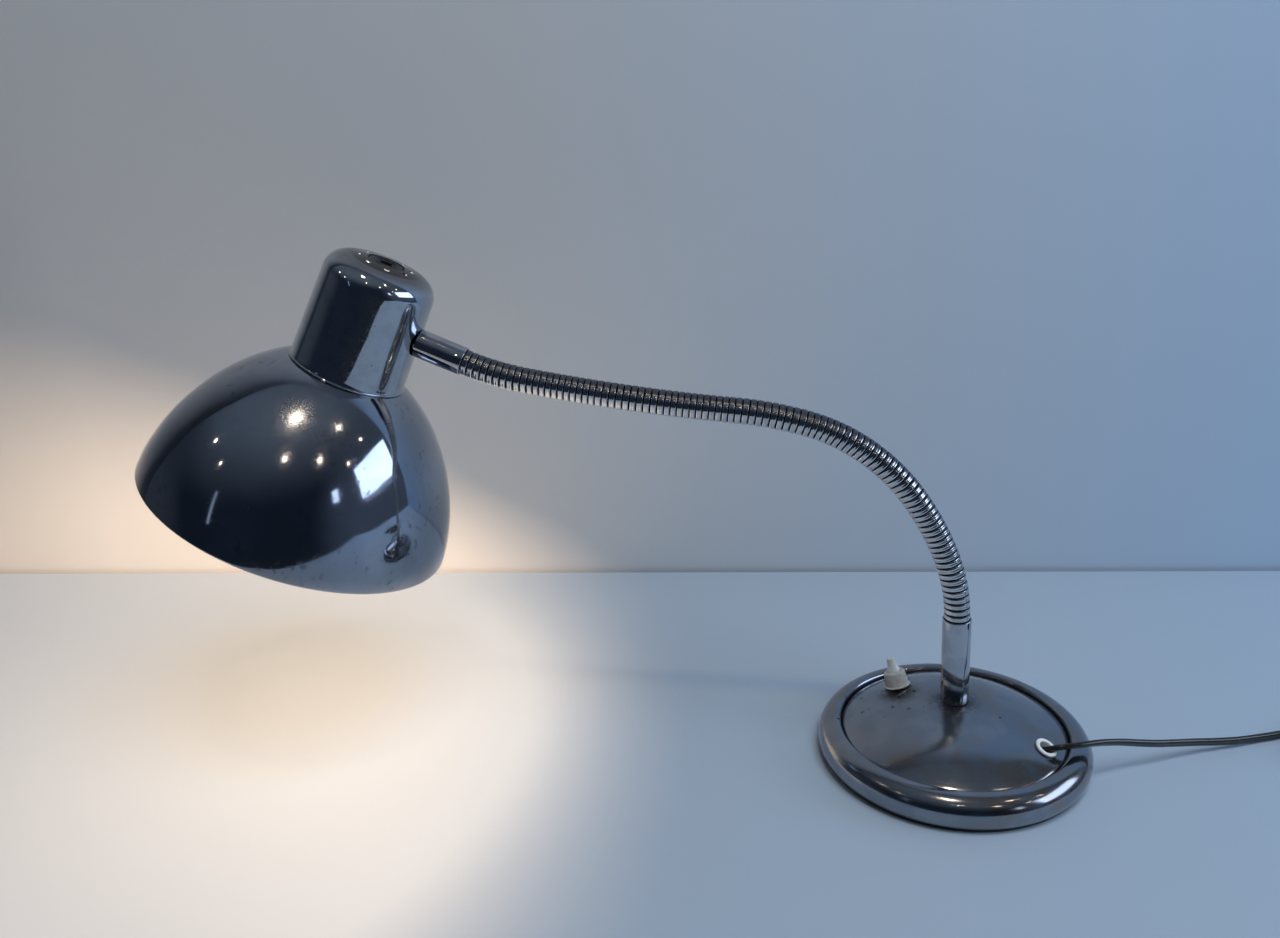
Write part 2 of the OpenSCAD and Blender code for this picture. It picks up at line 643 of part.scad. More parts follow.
function bulb_line(inset) = concat(
    arc([0, bulb_end + bulb_r], bulb_r - inset, -90, 38, 20),
    [[18.5 - inset, bulb_end + bulb_r + 27], [14.6 - inset, bulb_end + bulb_r + 38],
     [thread_r - 0.8 - inset, bulb_neck_z]]);
module bulb_glass() {
    color("lightyellow", 0.5) on_head() rotate_extrude() polygon(concat(bulb_line(0),
        flip(bulb_line(glass_t))));
}
module bulb_cap() {
    low = bulb_neck_z + fit_gap;
    wall = 0.8;
    color("gold") on_head() rotate_extrude() polygon([[0, contact_z], [4, contact_z],
        [9, contact_z - 4], [thread_r, contact_z - 6], [thread_r, low], [thread_r - wall, low],
        [thread_r - wall, contact_z - 6 - wall], [9 - wall, contact_z - 4 - wall],
        [0, contact_z - 4 - wall]]);
}
module bulb_filament() {
    stalk = 34;                                 // glass stalk that carries the filament
    color("orange") on_head() translate([0, 0, bulb_neck_z]) {
        translate([0, 0, -stalk]) cylinder(r1 = 1.5, r2 = 4, h = stalk, $fn = 24);
        translate([0, 0, -3]) cylinder(r = thread_r - 0.8 - glass_t - seat_gap, h = 2);
        for (s = [-1, 1]) tube([[s * 2, 0, 1 - stalk], [s * 6, 0.1, -6 - stalk],
            [s * 9, 0.2, -14 - stalk]], 0.3, 6);
        tube([for (k = [-4:4]) [9.2 * k / 4, 2 - abs(k) / 2, -14.2 - stalk]], 0.35, 6);
    }
}

// ---- cord ----

module cord_lead() {
    color("darkolivegreen") tube(cord_route, cord_r, 8);
}
module cord_coil() {
    color("darkolivegreen") translate([coil_c[0], coil_c[1], 0]) difference() {
        rotate_extrude() polygon([
            [coil_in + coil_edge, thread_gap], [coil_out - coil_edge, thread_gap],
            [coil_out, coil_edge], [coil_out, coil_h - coil_edge], [coil_out - coil_edge, coil_h],
            [coil_in + coil_edge, coil_h], [coil_in, coil_h - coil_edge], [coil_in, coil_edge]]);
        translate([0, -coil_mid, 0])
            cube([tie_w + 0.4, coil_r, 2 * (tie_t + 0.2)], center = true);
    }
}
module cord_tail() {
    color("darkolivegreen") tube(tail_route, cord_r, 8);
}
module cord_tie() {
    wide = coil_out - coil_in + 2 * seat_gap;
    tall = coil_h + seat_gap;
    color("black") translate([coil_c[0], coil_c[1] - coil_mid, fit_gap]) difference() {
        translate([-tie_w / 2, -wide / 2 - tie_t, 0]) cube([tie_w, wide + 2 * tie_t, tall + tie_t]);
        translate([-tie_w, -wide / 2, tie_t]) cube([2 * tie_w, wide, tall - tie_t]);
    }
}
module plug_body() {
    nose = 7.5;
    wide = plug_w / 2;
    color("black") translate(plug_at) translate([0, 0, -plug_h / 2]) linear_extrude(plug_h)
        polygon([[-5, 0], [5, 0], [nose, -4], [wide, -14], [wide, 4 - plug_l],
            [wide - 4, -plug_l], [4 - wide, -plug_l], [-wide, 4 - plug_l], [-wide, -14],
            [-nose, -4]]);
}
module plug_pins() {
    tip = 1;
    color("gold") translate(plug_at) for (s = [-1, 1])
        translate([s * pin_gap / 2, -plug_l, 0]) rotate([90, 0, 0]) {
            cylinder(r = pin_d / 2, h = pin_l - tip, $fn = 48);
            translate([0, 0, pin_l - tip]) cylinder(r1 = pin_d / 2, r2 = pin_d / 4, h = tip, $fn = 48);
        }
}

base_shell();
base_weight();
base_plate();
plate_screws();
base_felt();
stem();
stem_nipple();
stem_nut();
grommet();
cord_clamp();
clamp_screws();
terminal_block();
inner_cord();
base_wires();
switch_body();
switch_collar();
switch_plunger();
switch_spring();
switch_terminals();
for (i = [0:BENDS]) {
    neck_link(i);
    neck_lead(i);
}
head_ferrule();
ferrule_nut();
cap_shell();
cap_nut();
holder_nipple();
holder_cap();
holder_body();
screw_shell();
holder_contacts();
head_wires();
shade_ring();
shade();
bulb_glass();
bulb_cap();
bulb_filament();
cord_lead();
cord_coil();
cord_tail();
cord_tie();
plug_body();
plug_pins();
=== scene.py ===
# Gooseneck desk lamp: weighted dome base, ribbed neck, chromed cap and polished shade.
import json
import math

import bpy
from mathutils import Matrix, Vector


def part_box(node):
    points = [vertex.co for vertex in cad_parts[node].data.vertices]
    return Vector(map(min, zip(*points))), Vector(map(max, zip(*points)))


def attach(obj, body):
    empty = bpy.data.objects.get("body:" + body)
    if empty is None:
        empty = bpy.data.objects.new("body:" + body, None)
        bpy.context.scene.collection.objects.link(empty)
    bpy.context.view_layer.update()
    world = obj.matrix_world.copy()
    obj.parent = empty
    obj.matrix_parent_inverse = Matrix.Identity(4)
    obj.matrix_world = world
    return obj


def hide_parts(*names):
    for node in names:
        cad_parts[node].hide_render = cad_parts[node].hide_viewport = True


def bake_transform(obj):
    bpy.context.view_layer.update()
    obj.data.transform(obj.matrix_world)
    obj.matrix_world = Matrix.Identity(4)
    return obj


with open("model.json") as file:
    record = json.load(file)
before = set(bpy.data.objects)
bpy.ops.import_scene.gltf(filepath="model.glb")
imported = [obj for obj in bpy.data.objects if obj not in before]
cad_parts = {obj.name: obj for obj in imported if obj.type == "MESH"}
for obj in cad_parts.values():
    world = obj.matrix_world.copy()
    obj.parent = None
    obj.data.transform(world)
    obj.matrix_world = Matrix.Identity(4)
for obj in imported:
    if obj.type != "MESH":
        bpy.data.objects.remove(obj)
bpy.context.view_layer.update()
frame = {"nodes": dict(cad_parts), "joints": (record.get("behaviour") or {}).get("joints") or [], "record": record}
mm = 0.001  # lengths below are in mm and angles in degrees, unless a note says otherwise
weld = 0.000004  # m: points closer than this are joined
print("frame loaded:", len(frame["nodes"]), "parts")

view = {
    "place": (-87.31, -549.74, 363.57),  # mm
    "heading": 9.0,  # degrees that it turns left of straight ahead
    "dip": 19.235,  # degrees that it looks down
    "roll": -2.061,
    "lens": 30.375,  # mm
    "sensor": 36,
    "nearest": 0.01,  # m: nothing closer is seen
}
bpy.ops.object.camera_add()
camera = bpy.context.object
camera.name = "camera"
camera.data.lens = view["lens"]
camera.data.sensor_width = view["sensor"]
camera.data.clip_start = view["nearest"]
camera.matrix_world = (
    Matrix.Translation(Vector(view["place"]) * mm)
    @ Matrix.Rotation(math.radians(view["heading"]), 4, "Z")
    @ Matrix.Rotation(math.radians(90 - view["dip"]), 4, "X")
    @ Matrix.Rotation(math.radians(view["roll"]), 4, "Z")
)
bpy.context.scene.camera = camera


def clearSelection():
    if bpy.context.mode != "OBJECT":
        bpy.ops.object.mode_set(mode="OBJECT")
    bpy.ops.object.select_all(action="DESELECT")


def pickOut(piece):  # makes one piece the selected and active one
    clearSelection()
    piece.select_set(True)
    bpy.context.view_layer.objects.active = piece


def settle(piece, place=None):  # puts a piece in its place, and its place in its mesh
    pickOut(piece)
    if place is not None:
        piece.matrix_world = place @ piece.matrix_world
    bpy.ops.object.transform_apply(location=True, rotation=True, scale=True)
    return piece


def applyAll(piece):
    pickOut(piece)
    for modifier in list(piece.modifiers):
        bpy.ops.object.modifier_apply(modifier=modifier.name)


def smooth(piece, angle):
    pickOut(piece)
    bpy.ops.object.shade_smooth_by_angle(angle=math.radians(angle))
    return piece


def newObject(name, data):
    made = bpy.data.objects.new(name, data)
    bpy.context.scene.collection.objects.link(made)
    return made


def drawn(name, points):  # edges from point to point, in mm, pulled out of one vertex
    clearSelection()
    bpy.ops.mesh.primitive_plane_add(size=mm)
    piece = bpy.context.object
    piece.name = name
    bpy.ops.object.mode_set(mode="EDIT")
    bpy.ops.mesh.merge(type="CENTER")
    here = points[0]
    bpy.ops.transform.translate(value=[c * mm for c in here])
    for there in points[1:]:
        step = [(new - old) * mm for new, old in zip(there, here)]
        bpy.ops.mesh.extrude_region_move(TRANSFORM_OT_translate={"value": step})
        here = there
    bpy.ops.mesh.select_all(action="SELECT")
    return piece


def closeUp():  # ends a drawing: turns all faces outwards and leaves edit mode
    bpy.ops.mesh.select_all(action="SELECT")
    bpy.ops.mesh.normals_make_consistent(inside=False)
    bpy.ops.object.mode_set(mode="OBJECT")


def turned(name, outline, steps=96, closed=False):
    # A lathe: the outline, (radius, height) in mm, is drawn and spun round Z.
    piece = drawn(name, [(r, 0, h) for r, h in outline + (outline[:1] if closed else [])])
    bpy.ops.mesh.spin(steps=steps, angle=2 * math.pi, center=(0, 0, 0), axis=(0, 0, 1))
    bpy.ops.mesh.select_all(action="SELECT")
    bpy.ops.mesh.remove_doubles(threshold=weld)
    closeUp()
    return piece


def rounded(centre, radius, start, end, count):  # points of an arc of an outline, in mm
    turns = [math.radians(start + (end - start) * k / count) for k in range(count + 1)]
    return [(centre[0] + radius * math.cos(a), centre[1] + radius * math.sin(a)) for a in turns]


def walled(piece, thickness, lined=False):  # gives a sheet its wall, inwards
    wall = piece.modifiers.new("wall", "SOLIDIFY")
    wall.thickness = thickness * mm
    wall.offset = -1
    wall.use_even_offset = True
    wall.material_offset = 1 if lined else 0
    applyAll(piece)


drillSides = 40


def drill(piece, place, radius, depth):  # a round hole along the local Z of place
    clearSelection()
    bpy.ops.mesh.primitive_cylinder_add(vertices=drillSides, radius=radius * mm, depth=depth * mm)
    bit = settle(bpy.context.object, place)
    hole = piece.modifiers.new("hole", "BOOLEAN")
    hole.operation = "DIFFERENCE"
    hole.solver = "EXACT"
    hole.object = bit
    applyAll(piece)
    bpy.data.objects.remove(bit)


def turn(axis, degrees):
    return Matrix.Rotation(math.radians(degrees), 4, axis)


def shift(x, y, z):  # mm
    return Matrix.Translation(Vector((x, y, z)) * mm)


base = {
    "radius": 75,
    "top": 35,
    "rimWidth": 13,
    "grooveHeight": 17,
    "rimTop": 20,
    "rimRound": 11,
    "footRound": 9.2,
    "felt": 1.5,
    "wall": 1.2,
}
grooveRadius = base["radius"] - base["rimWidth"]
domeRise = base["top"] - base["grooveHeight"]
domeRadius = (grooveRadius**2 + domeRise**2) / (2 * domeRise)
rimHeight = base["rimTop"] - base["rimRound"]  # of the middle of its rounding


def domeHeight(r):
    return base["top"] - domeRadius + math.sqrt(domeRadius**2 - r * r)


def onDome(r, azimuth):  # a frame that stands on the dome
    slope = math.degrees(math.asin(r / domeRadius))
    return turn("Z", azimuth) @ shift(r, 0, domeHeight(r)) @ turn("Y", slope)


places = {
    "stemLean": 1.9,
    "stemLength": 50.8,
    "switch": (36.5, 143.5),  # distance from the centre, direction
    "grommet": (52, -30),
    "halfLink": 18.65,
    "ferruleRise": 23,  # elevation of the neck's end
    "ferruleLength": 27,
    "headAhead": 30.7,  # from the ferrule's end to the cap's axis
    "headTilt": 25.5,
    "headRoll": 3.5,
    "capDrop": 35,  # from the cap's top down to the ferrule's axis
}
onStem = shift(0, 0, base["top"]) @ turn("Y", -places["stemLean"])
onSwitch = onDome(*places["switch"])
onGrommet = onDome(*places["grommet"])
bends = [Vector(j["pos_m"]) for j in frame["joints"] if j["name"].startswith("neck_")]
stemTop = onStem @ Vector((0, 0, places["stemLength"] * mm))
ferruleRise = math.radians(places["ferruleRise"])
headwards = Vector((-math.cos(ferruleRise), 0, math.sin(ferruleRise)))
neckEnd = bends[-1] + headwards * places["halfLink"] * mm
onFerrule = Matrix.Translation(neckEnd) @ turn("Y", places["ferruleRise"] - 90)
headCentre = neckEnd + headwards * (places["ferruleLength"] + places["headAhead"]) * mm
onHead = (
    Matrix.Translation(headCentre)
    @ turn("Y", places["headTilt"])
    @ turn("X", -places["headRoll"])
    @ shift(0, 0, places["capDrop"])
)

flex = {
    "width": 5.2,  # a twin flex: two round cores side by side
    "core": 1.5,  # radius of one core's sheath
    "apart": 1.1,  # from the middle to a core's axis
    "web": 8,  # degrees of each core that the web between them takes
    "length": 1.81,  # m
    "exit": 1.6,  # height of the grommet's mouth
    "twist": 62,  # degrees that the flex is turned where it leaves the grommet
    "route": [
        (42.6, -24.9, 20.9), (46.4, -26.3, 22.8), (50.6, -27, 24.3), (54.9, -26.9, 25.2),
        (59.3, -26, 25.5), (63.5, -24.4, 25.2), (71, -20.6, 24.1), (79.3, -16, 22.2),
        (88.2, -11.4, 19.8), (98, -6.9, 17), (109, -2, 14.1), (121, 4, 11.2), (134, 10, 8.6),
        (147, 15, 6.4), (160, 20.2, 4.6), (173, 26, 3.3), (187, 31.7, 2.7), (198, 36.6, 2.7),
        (209, 41.5, 2.7),
    ],
    "tail": [(279, 3, 7.7), (279, -4, 7.5), (279, -8, 7.2), (279, -12, 7), (279, -18, 7), (279, -25, 7)],
}
coil = {
    "centre": (237, 10),
    "outside": 40,  # radius of the first turn
    "inside": 18.8,
    "last": 42,  # radius where the cord leaves the coil
    "start": 113.6,  # degrees
    "turns": 4,  # in the lower layer
    "heights": (2.7, 7.85),  # of the two layers
    "climb": 0.5,  # turns that the cord takes to the upper one
    "points": 18,  # for each turn
}


def coilPoints():
    below = coil["turns"]
    above = below + coil["start"] / 360  # so it leaves where the tail begins
    total = round((below + above) * coil["points"])
    low, high = coil["heights"]
    points = []
    for k in range(total + 1):
        t = k * (below + above) / total
        angle = math.radians(coil["start"] - 360 * t)
        if t < below:
            r = coil["outside"] + (coil["inside"] - coil["outside"]) * t / below
        else:
            r = coil["inside"] + (coil["last"] - coil["inside"]) * (t - below) / above
        rise = min(1, max(0, (t - below) / coil["climb"] + 0.5))
        z = low + (high - low) * rise * rise * (3 - 2 * rise)
        points.append((coil["centre"][0] + r * math.cos(angle), coil["centre"][1] + r * math.sin(angle), z))
    return points


def newCurve(name, kind, resolution):
    line = bpy.data.curves.new(name, "CURVE")
    line.dimensions = "3D"
    line.twist_mode = "Z_UP"
    line.resolution_u = resolution
    return line, line.splines.new(kind)


def smoothLine(name, points):  # one curve through points in mm
    line, spline = newCurve(name, "BEZIER", 4)
    spline.bezier_points.add(len(points) - 1)
    for k, (knot, point) in enumerate(zip(spline.bezier_points, points)):
        knot.co = Vector(point) * mm
        knot.handle_left_type = knot.handle_right_type = "AUTO"
        knot.tilt = math.radians(flex["twist"]) * max(0, 1 - k / len(flex["route"]))
    return newObject(name, line)


def addCord():
    points = flex["route"] + coilPoints() + flex["tail"]
    cord = smoothLine("mains_cord", points)
    bare = bpy.data.meshes.new_from_object(cord)
    path = [tuple(v.co) for v in bare.vertices]
    bpy.data.meshes.remove(bare)
    # The section of the twin flex: two cores that meet in a groove on either side.
    waist = math.degrees(math.acos(-flex["apart"] / flex["core"])) - flex["web"]
    upper = rounded((0, flex["apart"]), flex["core"], 90 - waist, 90 + waist, 8)
    section = bpy.data.curves.new("flex_section", "CURVE")
    edge = section.splines.new("POLY")
    outline = upper + [(-x, -y) for x, y in upper]
    edge.points.add(len(outline) - 1)
    for knot, (x, y) in zip(edge.points, outline):
        knot.co = (x * mm, y * mm, 0, 1)
    edge.use_cyclic_u = True
    profile = newObject("flex_section", section)
    cord.data.bevel_mode = "OBJECT"
    cord.data.bevel_object = profile
    cord.data.use_fill_caps = True
    pickOut(cord)
    bpy.ops.object.convert(target="MESH")
    bpy.data.objects.remove(profile)
    cord = smooth(bpy.context.object, 60)
    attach(cord, "base")
    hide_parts("cord_lead", "cord_coil", "cord_tail")
    return cord, path


cord, cordPath = addCord()
print("cord laid,", len(cordPath), "points")


def linear(code):  # an sRGB hex colour as the linear one that the shaders take
    parts = [int(code[k : k + 2], 16) / 255 for k in (1, 3, 5)]
    return tuple(c / 12.92 if c <= 0.04045 else ((c + 0.055) / 1.055) ** 2.4 for c in parts) + (1,)


def feed(tree, node, inputs):  # gives a node's sockets their values and links
    for key, value in inputs.items():
        if isinstance(value, bpy.types.NodeSocket):
            tree.links.new(value, node.inputs[key])
        else:
            node.inputs[key].default_value = value


def addNode(tree, kind, inputs, out=0, **settings):  # returns the output that is wanted
    made = tree.nodes.new(kind)
    for key, value in settings.items():
        setattr(made, key, value)
    feed(tree, made, inputs)
    return made.outputs[out]


def newFinish(name, values):  # a material, its shader, and the place on the piece in mm
    material = bpy.data.materials.new(name)
    material.use_nodes = True
    tree = material.node_tree
    shader = tree.nodes["Principled BSDF"]
    feed(tree, shader, values)
    point = addNode(tree, "ShaderNodeTexCoord", {}, out="Object")
    point = addNode(tree, "ShaderNodeVectorMath", {0: point, "Scale": 1 / mm}, operation="SCALE")
    return material, tree, shader, point


soft = {"interpolation_type": "SMOOTHSTEP"}  # makes a Map Range ease in and out


def patches(tree, point, size, low=0.4, high=0.6, detail=3.0):  # soft blotches, size in mm
    noise = addNode(tree, "ShaderNodeTexNoise", {"Vector": point, "Scale": 1 / size, "Detail": detail})
    return addNode(tree, "ShaderNodeMapRange", {0: noise, 1: low, 2: high}, **soft)


def specks(tree, point, apart, share, largest):  # round specks: apart and largest radius in mm
    gap = addNode(tree, "ShaderNodeTexVoronoi", {"Vector": point, "Scale": 1 / apart})
    lot = addNode(tree, "ShaderNodeSeparateColor", {0: gap.node.outputs["Color"]})
    sizes = {0: lot, 1: 1 - share, 2: 1, 3: 0, 4: largest / apart}
    radius = addNode(tree, "ShaderNodeMapRange", sizes)
    # Solid up to 0.45 of its radius
    solid = addNode(tree, "ShaderNodeMath", {0: radius, 1: 0.45}, operation="MULTIPLY")
    return addNode(tree, "ShaderNodeMapRange", {0: gap, 1: radius, 2: solid}, **soft)


def closeTo(tree, point, spot, reach):  # 1 at a spot, down to 0 at its reach, in mm
    ends = {0: point, 1: tuple(spot)}
    gap = addNode(tree, "ShaderNodeVectorMath", ends, out="Value", operation="DISTANCE")
    return addNode(tree, "ShaderNodeMapRange", {0: gap, 1: reach, 2: 0}, **soft)


def scratches(tree, point, way, share):  # hairlines 12 mm long and 0.3 mm wide, drawn coarse to show
    inputs = {"Vector": point, "Rotation": way, "Scale": (1 / 12, 3, 3)}
    laid = addNode(tree, "ShaderNodeMapping", inputs)
    lines = addNode(tree, "ShaderNodeTexNoise", {"Vector": laid, "Scale": 1, "Detail": 0})
    return addNode(tree, "ShaderNodeMapRange", {0: lines, 1: 0.78 - share, 2: 0.84 - share})


def both(tree, *masks):  # where all masks are 1
    result = masks[0]
    for mask in masks[1:]:
        result = addNode(tree, "ShaderNodeMath", {0: result, 1: mask}, operation="MULTIPLY")
    return result


def covered(tree, first, *layers):  # a hex colour or a number, covered where each mask is 1
    isColour = isinstance(first, str)
    # The Mix node's kind, its two inputs and its output
    kind, a, b, out = ("RGBA", 6, 7, 2) if isColour else ("FLOAT", 2, 3, 0)
    result = linear(first) if isColour else first
    for mask, second in layers:
        inputs = {0: mask, a: result, b: linear(second) if isColour else second}
        result = addNode(tree, "ShaderNodeMix", inputs, out=out, data_type=kind)
    return result


def raised(tree, *layers):  # bumps: (height from 0 to 1, mm)
    normal = None
    for height, size in layers:
        inputs = {"Height": height, "Distance": size * mm, "Strength": 1}
        if normal:
            inputs["Normal"] = normal
        normal = addNode(tree, "ShaderNodeBump", inputs)
    return normal


wear = {
    # How far the marks reach round a place, in mm
    "switchRust": 50,
    "switchSmear": 17,
    "smearAside": (0, -9, 1),  # from the switch to the middle of the smear
    "stemDirt": 19,  # on the dome
    "tubeDirt": 9.6,  # on the stem's foot
    "grooveDirtAndShade": (0.6, 0.3),  # from the groove's middle: no dirt and painted shade, and full
    "paintedShadePlace": (0, 0, 12),  # from the cap's top, over the bulb, where its top is darkened as painted shade
    "paintedShadeReach": 50,
    "rubbedPlace": (-2, -54, -76),  # on the front of the shade
    "rubbed": 44,
}


def onHeadSpot(place):  # takes a place from the cap's top and gives it from the lamp's foot, in mm
    return (onHead @ (Vector(place) * mm)) / mm


def agedChrome():
    # Chrome plate on spun steel, rubbed dull over the years: a satin, cloudy shine, brown rust that
    # came through round the switch and the stem, and old dirt and painted shade in the groove.
    material, tree, shader, point = newFinish("aged chrome plate", {"Metallic": 1})
    switchFoot = onSwitch.translation / mm
    stemFoot = onStem.translation / mm
    clouds = patches(tree, point, 16)
    warm = patches(tree, point, 38, 0.44, 0.58, 1.0)
    rusted = closeTo(tree, point, switchFoot, wear["switchRust"])
    pits = both(tree, specks(tree, point, 4.2, 0.6, 1.8), rusted)
    stray = both(tree, specks(tree, point, 8, 0.3, 1.5), patches(tree, point, 30, 0.42, 0.56))
    smeared = closeTo(tree, point, switchFoot + Vector(wear["smearAside"]), wear["switchSmear"])
    smear = both(tree, patches(tree, point, 4, 0.32, 0.44), smeared)
    nearStem = closeTo(tree, point, stemFoot, wear["stemDirt"])
    foot = both(tree, patches(tree, point, 2.6, 0.34, 0.5), nearStem)
    # Old dirt and painted shade: a dark line along the groove
    flat = addNode(tree, "ShaderNodeVectorMath", {0: point, 1: (1, 1, 0)}, operation="MULTIPLY")
    away = addNode(tree, "ShaderNodeVectorMath", {0: flat}, out="Value", operation="LENGTH")
    away = addNode(tree, "ShaderNodeMath", {0: away, 1: grooveRadius}, operation="SUBTRACT")
    away = addNode(tree, "ShaderNodeMath", {0: away}, operation="ABSOLUTE")
    edge, full = wear["grooveDirtAndShade"]
    groove = addNode(tree, "ShaderNodeMapRange", {0: away, 1: edge, 2: full}, **soft)
    lines = scratches(tree, point, (0, 0, 0.6), 0.08)
    colour = covered(
        tree, "#999da3", (warm, "#96908d"), (clouds, "#8e939c"),
        (pits, "#33261d"), (stray, "#3b3330"), (smear, "#2e221a"),
        (foot, "#352a22"), (groove, "#26272a"),
    )
    rough = covered(
        tree, 0.125, (clouds, 0.18), (lines, 0.25), (pits, 0.6), (stray, 0.55),
        (smear, 0.6), (foot, 0.6), (groove, 0.6),
    )
    waves = patches(tree, point, 24, 0.25, 0.75, 0.0)
    normal = raised(tree, (waves, 0.05), (pits, -0.05), (stray, -0.04))
    feed(tree, shader, {"Base Color": colour, "Roughness": rough, "Normal": normal})
    return material


def tubeChrome():
    # Bright chrome on drawn steel tube: mirror-like, with a little dirt at its foot and few pits.
    material, tree, shader, point = newFinish("bright chrome on tube", {"Metallic": 1})
    clouds = patches(tree, point, 9)
    pits = specks(tree, point, 4, 0.16, 0.5)
    low = closeTo(tree, point, onStem.translation / mm, wear["tubeDirt"])
    foot = both(tree, patches(tree, point, 1.6, 0.3, 0.55), low)
    colour = covered(tree, "#bbbdc2", (clouds, "#aeb1b7"), (pits, "#41382f"), (foot, "#4a3d31"))
    rough = covered(tree, 0.05, (clouds, 0.09), (pits, 0.5), (foot, 0.5))
    normal = raised(tree, (patches(tree, point, 10, 0.3, 0.7, 0.0), 0.02), (pits, -0.03))
    feed(tree, shader, {"Base Color": colour, "Roughness": rough, "Normal": normal})
    return material


def neckChrome():
    # Chromed steel strip wound into a gooseneck: bright below, greyed on top by handling, dust and painted
    # shade, with black dirt and painted shade down in the gaps.
    material, tree, shader, point = newFinish("chromed gooseneck strip", {"Metallic": 1})
    # Dirt and painted shade down in the gaps, darker the deeper
    deepDirtAndShade = addNode(tree, "ShaderNodeAttribute", {}, out="Fac", attribute_name="grooveDirtAndShade")
    # Dust and painted shade: greyer and duller where it faces up
    upper = addNode(tree, "ShaderNodeAttribute", {}, out="Fac", attribute_name="topDustAndShade")
    upper = addNode(tree, "ShaderNodeMapRange", {0: upper, 1: 0.6, 2: 0.9}, **soft)
    worn = patches(tree, point, 5)
    pits = specks(tree, point, 3, 0.2, 0.5)
    colour = covered(
        tree, "#d2d2d3", (worn, "#c2c3c6"), (upper, "#6c6e75"), (pits, "#4b4137"), (deepDirtAndShade, "#15130f")
    )
    rough = covered(tree, 0.06, (worn, 0.11), (upper, 0.3), (pits, 0.5), (deepDirtAndShade, 0.75))
    feed(tree, shader, {"Base Color": colour, "Roughness": rough})
    return material


def brightChrome():
    # Bright chrome on a deep-drawn steel cap: the best-kept mirror of the lamp, with faint wipe
    # marks, a few pits and slight waves from drawing. Its top is painted darker as painted shade on its
    # reflections.
    material, tree, shader, point = newFinish("bright chrome plate", {"Metallic": 1})
    wiped = patches(tree, point, 8, 0.45, 0.65)
    grain = patches(tree, point, 0.7, 0.58, 0.72, 0.0)
    pits = specks(tree, point, 5, 0.15, 0.6)
    # Painted shade: the cap's top is painted darker, which dims its reflections
    top = closeTo(tree, point, onHeadSpot(wear["paintedShadePlace"]), wear["paintedShadeReach"])
    top = addNode(tree, "ShaderNodeMapRange", {0: top, 1: 0.25, 2: 0.6})
    colour = covered(tree, "#b8bcc2", (wiped, "#aeb2b8"), (top, "#454446"), (pits, "#3d352e"))
    rough = covered(tree, 0.03, (wiped, 0.055), (top, 0.12), (grain, 0.18), (pits, 0.5))
    normal = raised(tree, (patches(tree, point, 22, 0.3, 0.7, 0.0), 0.06), (pits, -0.03))
    feed(tree, shader, {"Base Color": colour, "Roughness": rough, "Normal": normal})
    return material


def agedNickel():
    # Nickel plate on a spun shade, gone grey: still a mirror, under a veil of fine wiping marks
    # that catches bright lights as a grainy halo, with slow waves left by the spinning tool.
    material, tree, shader, point = newFinish("greyed nickel plate", {"Metallic": 1})
    cloudy = patches(tree, point, 26)
    dull = patches(tree, point, 55, 0.42, 0.62, 1.0)
    rubbed = closeTo(tree, point, onHeadSpot(wear["rubbedPlace"]), wear["rubbed"])
    grain = both(tree, patches(tree, point, 0.6, 0.5, 0.6, 2.0), rubbed)
    lines = scratches(tree, point, (0.3, 0.5, 0.9), 0.1)
    pits = both(tree, specks(tree, point, 7, 0.13, 0.75), dull)
    stain = both(tree, patches(tree, point, 4, 0.55, 0.7), patches(tree, point, 40, 0.5, 0.65))
    colour = covered(
        tree, "#a8adb7", (cloudy, "#9da2ad"), (dull, "#969aa3"), (stain, "#7f7f84"), (pits, "#2c2723")
    )
    rough = covered(
        tree, 0.05, (cloudy, 0.08), (rubbed, 0.12), (grain, 0.3),
        (lines, 0.14), (stain, 0.2), (pits, 0.6),
    )
    waves = patches(tree, point, 30, 0.25, 0.75, 1.0)
    normal = raised(tree, (waves, 0.16), (pits, -0.05))
    feed(tree, shader, {"Base Color": colour, "Roughness": rough, "Normal": normal})
    return material


def satinAluminium():
    # The shade's inside: aluminium left satin to spread the light, a little cloudy and grainy.
    material, tree, shader, point = newFinish("satin aluminium lining", {"Metallic": 1})
    clouds = patches(tree, point, 12)
    grain = patches(tree, point, 0.9, 0.4, 0.6, 1.0)
    colour = covered(tree, "#cfcdc8", (clouds, "#c3c1bc"))
    rough = covered(tree, 0.42, (clouds, 0.5), (grain, 0.56))
    feed(tree, shader, {"Base Color": colour, "Roughness": rough})
    return material


def plainMetal(name, colour, tarnish, shine):
    # Small metal parts as they come from the lathe or the press, a little tarnished.
    material, tree, shader, point = newFinish(name, {"Metallic": 1})
    spots = patches(tree, point, 3)
    grain = patches(tree, point, 0.5, 0.4, 0.6, 1.0)
    colours = covered(tree, colour, (spots, tarnish))
    rough = covered(tree, shine, (spots, shine + 0.12), (grain, shine + 0.08))
    normal = raised(tree, (grain, 0.01))
    feed(tree, shader, {"Base Color": colours, "Roughness": rough, "Normal": normal})
    return material


def castIron():
    # Grey cast iron as it left the sand: dark, matt and grainy.
    material, tree, shader, point = newFinish("grey cast iron", {"Metallic": 1})
    sand = patches(tree, point, 1.2, 0.3, 0.7, 4.0)
    rust = patches(tree, point, 9, 0.55, 0.7)
    colour = covered(tree, "#5c5d60", (sand, "#48494c"), (rust, "#5a4234"))
    normal = raised(tree, (sand, 0.2))
    rough = covered(tree, 0.6, (rust, 0.8))
    feed(tree, shader, {"Base Color": colour, "Roughness": rough, "Normal": normal})
    return material


